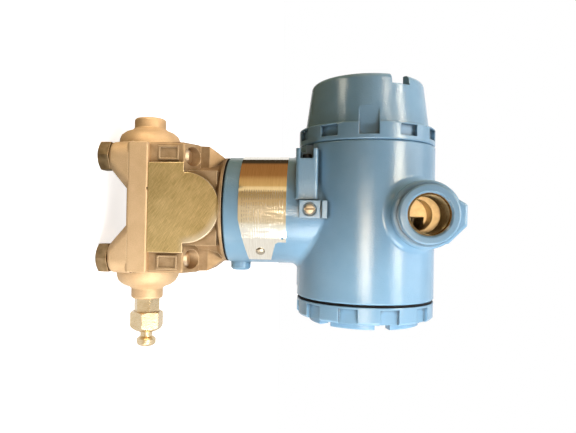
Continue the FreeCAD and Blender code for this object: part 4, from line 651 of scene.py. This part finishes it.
FLOOR_REACH = 3.0
FLOOR_PALE = (0.30, 0.28, 0.25)
FLOOR_DIM = (0.12, 0.075, 0.03)
FLOOR_SEEN = (0.90, 0.90, 0.90)
FLOOR_GLOW_NEAR = (0.72, 0.72, 0.72)
FLOOR_GLOW_FAR = (1.0, 1.0, 1.0)
FLOOR_NEAR = 0.06
FLOOR_FAR = 0.30
FLOOR_TURN = (-0.12, 0.10)


def sheet(name, width, height, at):
    """A flat rectangle that is no part of the object. Width runs along its X and height along its Y."""
    shape = bmesh.new()
    bmesh.ops.create_grid(shape, x_segments=1, y_segments=1, size=0.5)
    bmesh.ops.scale(shape, verts=shape.verts, vec=(width, height, 1))
    bmesh.ops.transform(shape, matrix=at, verts=shape.verts)
    mesh = bpy.data.meshes.new(name)
    shape.to_mesh(mesh)
    shape.free()
    piece = bpy.data.objects.new(name, mesh)
    bpy.context.scene.collection.objects.link(piece)
    return piece


def seen_directly(here):
    """1 for rays from the camera, from a mirror or through glass, and 0 for the rest of the light."""
    path = here.node("ShaderNodeLightPath", {}, {}).socket.node.outputs
    kinds = [Wire(here.tree, path[f"Is {kind} Ray"]) for kind in ("Camera", "Glossy", "Transmission")]
    return here.maths("MINIMUM", kinds[0] + kinds[1] + kinds[2], 1.0)


floor = sheet("floor", FLOOR_REACH, FLOOR_REACH, Matrix.Translation((0, 0, cad_low.z)))
floor_white, inputs, place = finish("floor_white", {"Roughness": 0.9, "Specular IOR Level": 0.0})
x, y = axes(place)[:2]
terminal_side = step(y, *FLOOR_TURN)
bounce = between(terminal_side, FLOOR_DIM, FLOOR_PALE)
place.feed(inputs["Base Color"], between(seen_directly(place), bounce, FLOOR_SEEN))
# The glow is weaker near the object: painted shade on the floor round it.
away = step((x * x + y * y) ** 0.5, FLOOR_NEAR, FLOOR_FAR)
floor_glow = between(away, FLOOR_GLOW_NEAR, FLOOR_GLOW_FAR)
place.feed(inputs["Emission Color"], between(seen_directly(place), (0.0, 0.0, 0.0), floor_glow))
inputs["Emission Strength"].default_value = 1.0
floor.data.materials.append(floor_white)
floor.visible_glossy = False

# World
# White to the camera and in reflections, and for the rest of the light a soft room that is darker and
# warmer towards the display cover.

ROOM_DIM = (0.20, 0.105, 0.025)
ROOM_BRIGHT = (0.42, 0.46, 0.50)
world = bpy.data.worlds.new("studio")
bpy.context.scene.world = world
world.use_nodes = True
tree = world.node_tree
background = tree.nodes["Background"]
here = Wire(tree, tree.nodes.new("ShaderNodeTexCoord").outputs["Generated"])
y, z = axes(here)[1:]
room = between(step(y * 0.5 + z * 0.6, -0.35, 0.75), ROOM_DIM, ROOM_BRIGHT)
here.feed(background.inputs["Color"], between(seen_directly(here), room, (1.0, 1.0, 1.0)))

# Reflected room
# What the bright metal mirrors besides white: a curved wall round the display side that goes from tan in
# front to orange and brown, a dark patch of bench, and a low card in front of the nameplate that holds the
# wall's colours and keeps the lamp behind it off the plate.

WALL_RADIUS = 1.1
WALL_LOW = -0.45
WALL_HIGH = 0.22
WALL_START = -135
WALL_END = 40
WALL_STEPS = 60
WALL_STOPS = [(-135, (0.05, 0.035, 0.02)), (-118, (0.06, 0.04, 0.022)), (-110, (0.33, 0.145, 0.045)),
              (-76, (0.36, 0.165, 0.05)), (-64, (0.60, 0.35, 0.13)), (-50, (0.70, 0.44, 0.17)),
              (-46, (1.0, 0.76, 0.42)), (-40, (1.0, 0.76, 0.42)), (-36, (0.42, 0.275, 0.12)),
              (-24, (0.44, 0.31, 0.145)), (-19, (0.60, 0.42, 0.22)), (-9, (0.64, 0.47, 0.26)),
              (-5, (0.72, 0.58, 0.39)), (24, (0.76, 0.64, 0.45)), (33, (1.0, 1.0, 0.94))]


def mirrored_only(piece):
    """Only reflections show this piece."""
    for ray in ("camera", "diffuse", "transmission", "volume_scatter", "shadow"):
        setattr(piece, "visible_" + ray, False)


def glow(name, colour):
    """A material that only gives off light. Its colour is a function of its coordinates."""
    material, sockets, here = finish(name, {"Base Color": (0, 0, 0, 1), "Roughness": 1.0,
                                            "Specular IOR Level": 0.0, "Emission Strength": 1.0})
    here.feed(sockets["Emission Color"], colour(here))
    return material


def wall_colour(here):
    """The colour of the wall by its direction round the neck."""
    x, y = axes(here)[:2]
    share = (here.maths("ARCTAN2", y, x) * (180 / pi) - WALL_START) * (1 / (WALL_END - WALL_START))
    stops = [((angle - WALL_START) / (WALL_END - WALL_START), colour) for angle, colour in WALL_STOPS]
    return here.node("ShaderNodeValToRGB", {"stops": stops}, {"Fac": share})


wall = bmesh.new()
start_x = WALL_RADIUS * cos(radians(WALL_START))
start_y = WALL_RADIUS * sin(radians(WALL_START))
ends = [wall.verts.new((start_x, start_y, z)) for z in (WALL_LOW, WALL_HIGH)]
side = wall.edges.new(ends)
bmesh.ops.spin(wall, geom=[*ends, side], cent=(0, 0, 0), axis=(0, 0, 1),
               angle=radians(WALL_END - WALL_START), steps=WALL_STEPS)
wall_mesh = bpy.data.meshes.new("reflected_wall")
wall.to_mesh(wall_mesh)
wall.free()
wall_mesh.materials.append(glow("wall_glow", wall_colour))
reflected_wall = bpy.data.objects.new("reflected_wall", wall_mesh)
bpy.context.scene.collection.objects.link(reflected_wall)
mirrored_only(reflected_wall)

BENCH_DARK = (0.09, 0.092, 0.055)
BENCH_LIGHT = (1.0, 1.0, 1.0)
BENCH_LIFT = 0.0005
BENCH_TURN = (-0.04, 0.06)


def bench_colour(here):
    """Dark under the display cover and white towards the terminal cover."""
    return between(step(axes(here)[1], *BENCH_TURN), BENCH_DARK, BENCH_LIGHT)


bench = sheet("reflected_bench", 0.75, 0.52, Matrix.Translation((0.05, -0.19, cad_low.z + BENCH_LIFT)))
bench.data.materials.append(glow("bench_glow", bench_colour))
mirrored_only(bench)

FACING_X = Matrix.Rotation(radians(90), 4, "Y")
near_wall = sheet("reflected_near_wall", 0.095, 0.24, Matrix.Translation((0.20, 0.02, 0.0505)) @ FACING_X)
near_wall.data.materials.append(glow("near_wall_glow", wall_colour))
mirrored_only(near_wall)
near_wall.visible_shadow = True

# Shades
# Five black cards that only cast shadows. Three keep the daylight and the front light off the display half
# of the housing and off the neck. Two lie over the flange boxes like barn doors, so that these light only
# the process end.

FACING_Y = Matrix.Rotation(radians(90), 4, "X")
shade_black = finish("shade_black", {"Base Color": (0.0, 0.0, 0.0, 1.0)})[0]


def shade(name, width, height, at, facing=Matrix()):
    """A card that only casts a shadow. It lies level unless it is turned to face another way."""
    card = sheet(name, width, height, Matrix.Translation(at) @ facing)
    card.data.materials.append(shade_black)
    for ray in ("camera", "diffuse", "glossy", "transmission", "volume_scatter"):
        setattr(card, "visible_" + ray, False)


shade("window_shade", 0.15, 0.09, (0.157, 0.06, 0.149), FACING_Y)
shade("front_shade", 0.20, 0.165, (0.20, -0.0775, 0.185), FACING_X)
shade("neck_shade", 0.07, 0.07, (0.065, 0.075, 0.11))
shade("display_barn_door", 0.14, 0.14, (0.10, -0.145, 0.032))
shade("terminal_barn_door", 0.14, 0.10, (0.10, 0.185, 0.032))

# Lamps
# A window close to the terminal cover gives most of the light, with soft boxes above, by the bridge, on the
# display side and low at the flange. Four boxes in front show only as highlights on the coat and the steel.


def lamp(name, at, size, power, colour, hidden=(), aim=(0.0, 0.0, 0.12)):
    """A soft box at a place, turned to its aim. Its width runs along Y."""
    light = bpy.data.lights.new(name, "AREA")
    light.shape = "RECTANGLE"
    light.size, light.size_y = size
    light.energy = power
    light.color = colour
    holder = bpy.data.objects.new(name, light)
    bpy.context.scene.collection.objects.link(holder)
    outward = (Vector(at) - Vector(aim)).normalized()
    along = (Vector((0, 1, 0)) - outward * outward.y).normalized()
    holder.matrix_world = (Matrix.Translation(at)
                           @ Matrix((along, outward.cross(along), outward)).transposed().to_4x4())
    for ray in ("camera", *hidden):
        setattr(holder, "visible_" + ray, False)


DAYLIGHT = (0.94, 0.96, 0.96)
TUNGSTEN = (1.0, 0.82, 0.60)
WARM = (1.0, 0.88, 0.68)
AMBER = (1.0, 0.78, 0.48)
SHEEN = ("diffuse",)
MATT = ("glossy",)
lamp("window", (0.22, 0.24, 0.18), (0.16, 0.20), 1.2, DAYLIGHT)
lamp("sky_box", (0.10, -0.05, 0.60), (0.30, 0.30), 0.78, DAYLIGHT)
lamp("bridge_box", (0.11, -0.09, 0.30), (0.08, 0.08), 0.075, DAYLIGHT, MATT, aim=(0.02, -0.02, 0.17))
lamp("display_box", (0.06, -0.38, 0.16), (0.20, 0.20), 0.55, AMBER, MATT)
lamp("flange_box_display", (0.10, -0.16, 0.006), (0.06, 0.03), 0.16, WARM, aim=(0.0, 0.0, 0.012))
lamp("flange_box_terminal", (0.10, 0.19, 0.006), (0.06, 0.03), 0.09, WARM, aim=(0.0, 0.0, 0.012))
lamp("camera_box", (0.83, 0.085, 0.092), (0.17, 0.24), 4.3, TUNGSTEN, SHEEN)
lamp("high_box", (0.54, -0.06, 0.77), (0.36, 0.16), 5.2, WARM, SHEEN)
lamp("warm_box_low", (0.62, -0.42, 0.56), (0.10, 0.05), 1.75, WARM, SHEEN)
lamp("warm_box_high", (0.34, -0.39, 0.82), (0.10, 0.05), 1.55, WARM, SHEEN)

# Camera
# Held square to the open conduit entry and turned a quarter, so that the neck lies across the picture.
# The lens, its shift, the distance and the small turns were fitted to the photograph.

PICTURE_WIDTH = 576
PICTURE_HEIGHT = 433
FOCAL_PIXELS = 540.7459
CENTRE_U = 263.5516
CENTRE_V = 216.7055
DISTANCE = 0.3255884
AIM_Y = 0.004
AIM_Z = 0.086
TILT = 0.0972
SWING = -0.0126
ROLL = 0.0179
SENSOR = 36.0
toward = Vector((cos(SWING) * cos(TILT), -sin(SWING), cos(SWING) * sin(TILT)))
right = Vector((-sin(TILT), 0, cos(TILT)))
down = Vector((cos(TILT) * sin(SWING), cos(SWING), sin(TILT) * sin(SWING)))
across = cos(ROLL) * right - sin(ROLL) * down
upward = -sin(ROLL) * right - cos(ROLL) * down
turn = Matrix((across, upward, toward)).transposed()
lens = bpy.data.cameras.new("camera")
lens.sensor_width = SENSOR
lens.lens = FOCAL_PIXELS * SENSOR / PICTURE_WIDTH
lens.shift_x = (PICTURE_WIDTH / 2 - CENTRE_U) / PICTURE_WIDTH
lens.shift_y = (CENTRE_V - PICTURE_HEIGHT / 2) / PICTURE_WIDTH
camera = bpy.data.objects.new("camera", lens)
bpy.context.scene.collection.objects.link(camera)
camera.matrix_world = Matrix.Translation(Vector((0, AIM_Y, AIM_Z)) + DISTANCE * toward) @ turn.to_4x4()
bpy.context.scene.camera = camera
bpy.context.scene.view_settings.view_transform = "Standard"
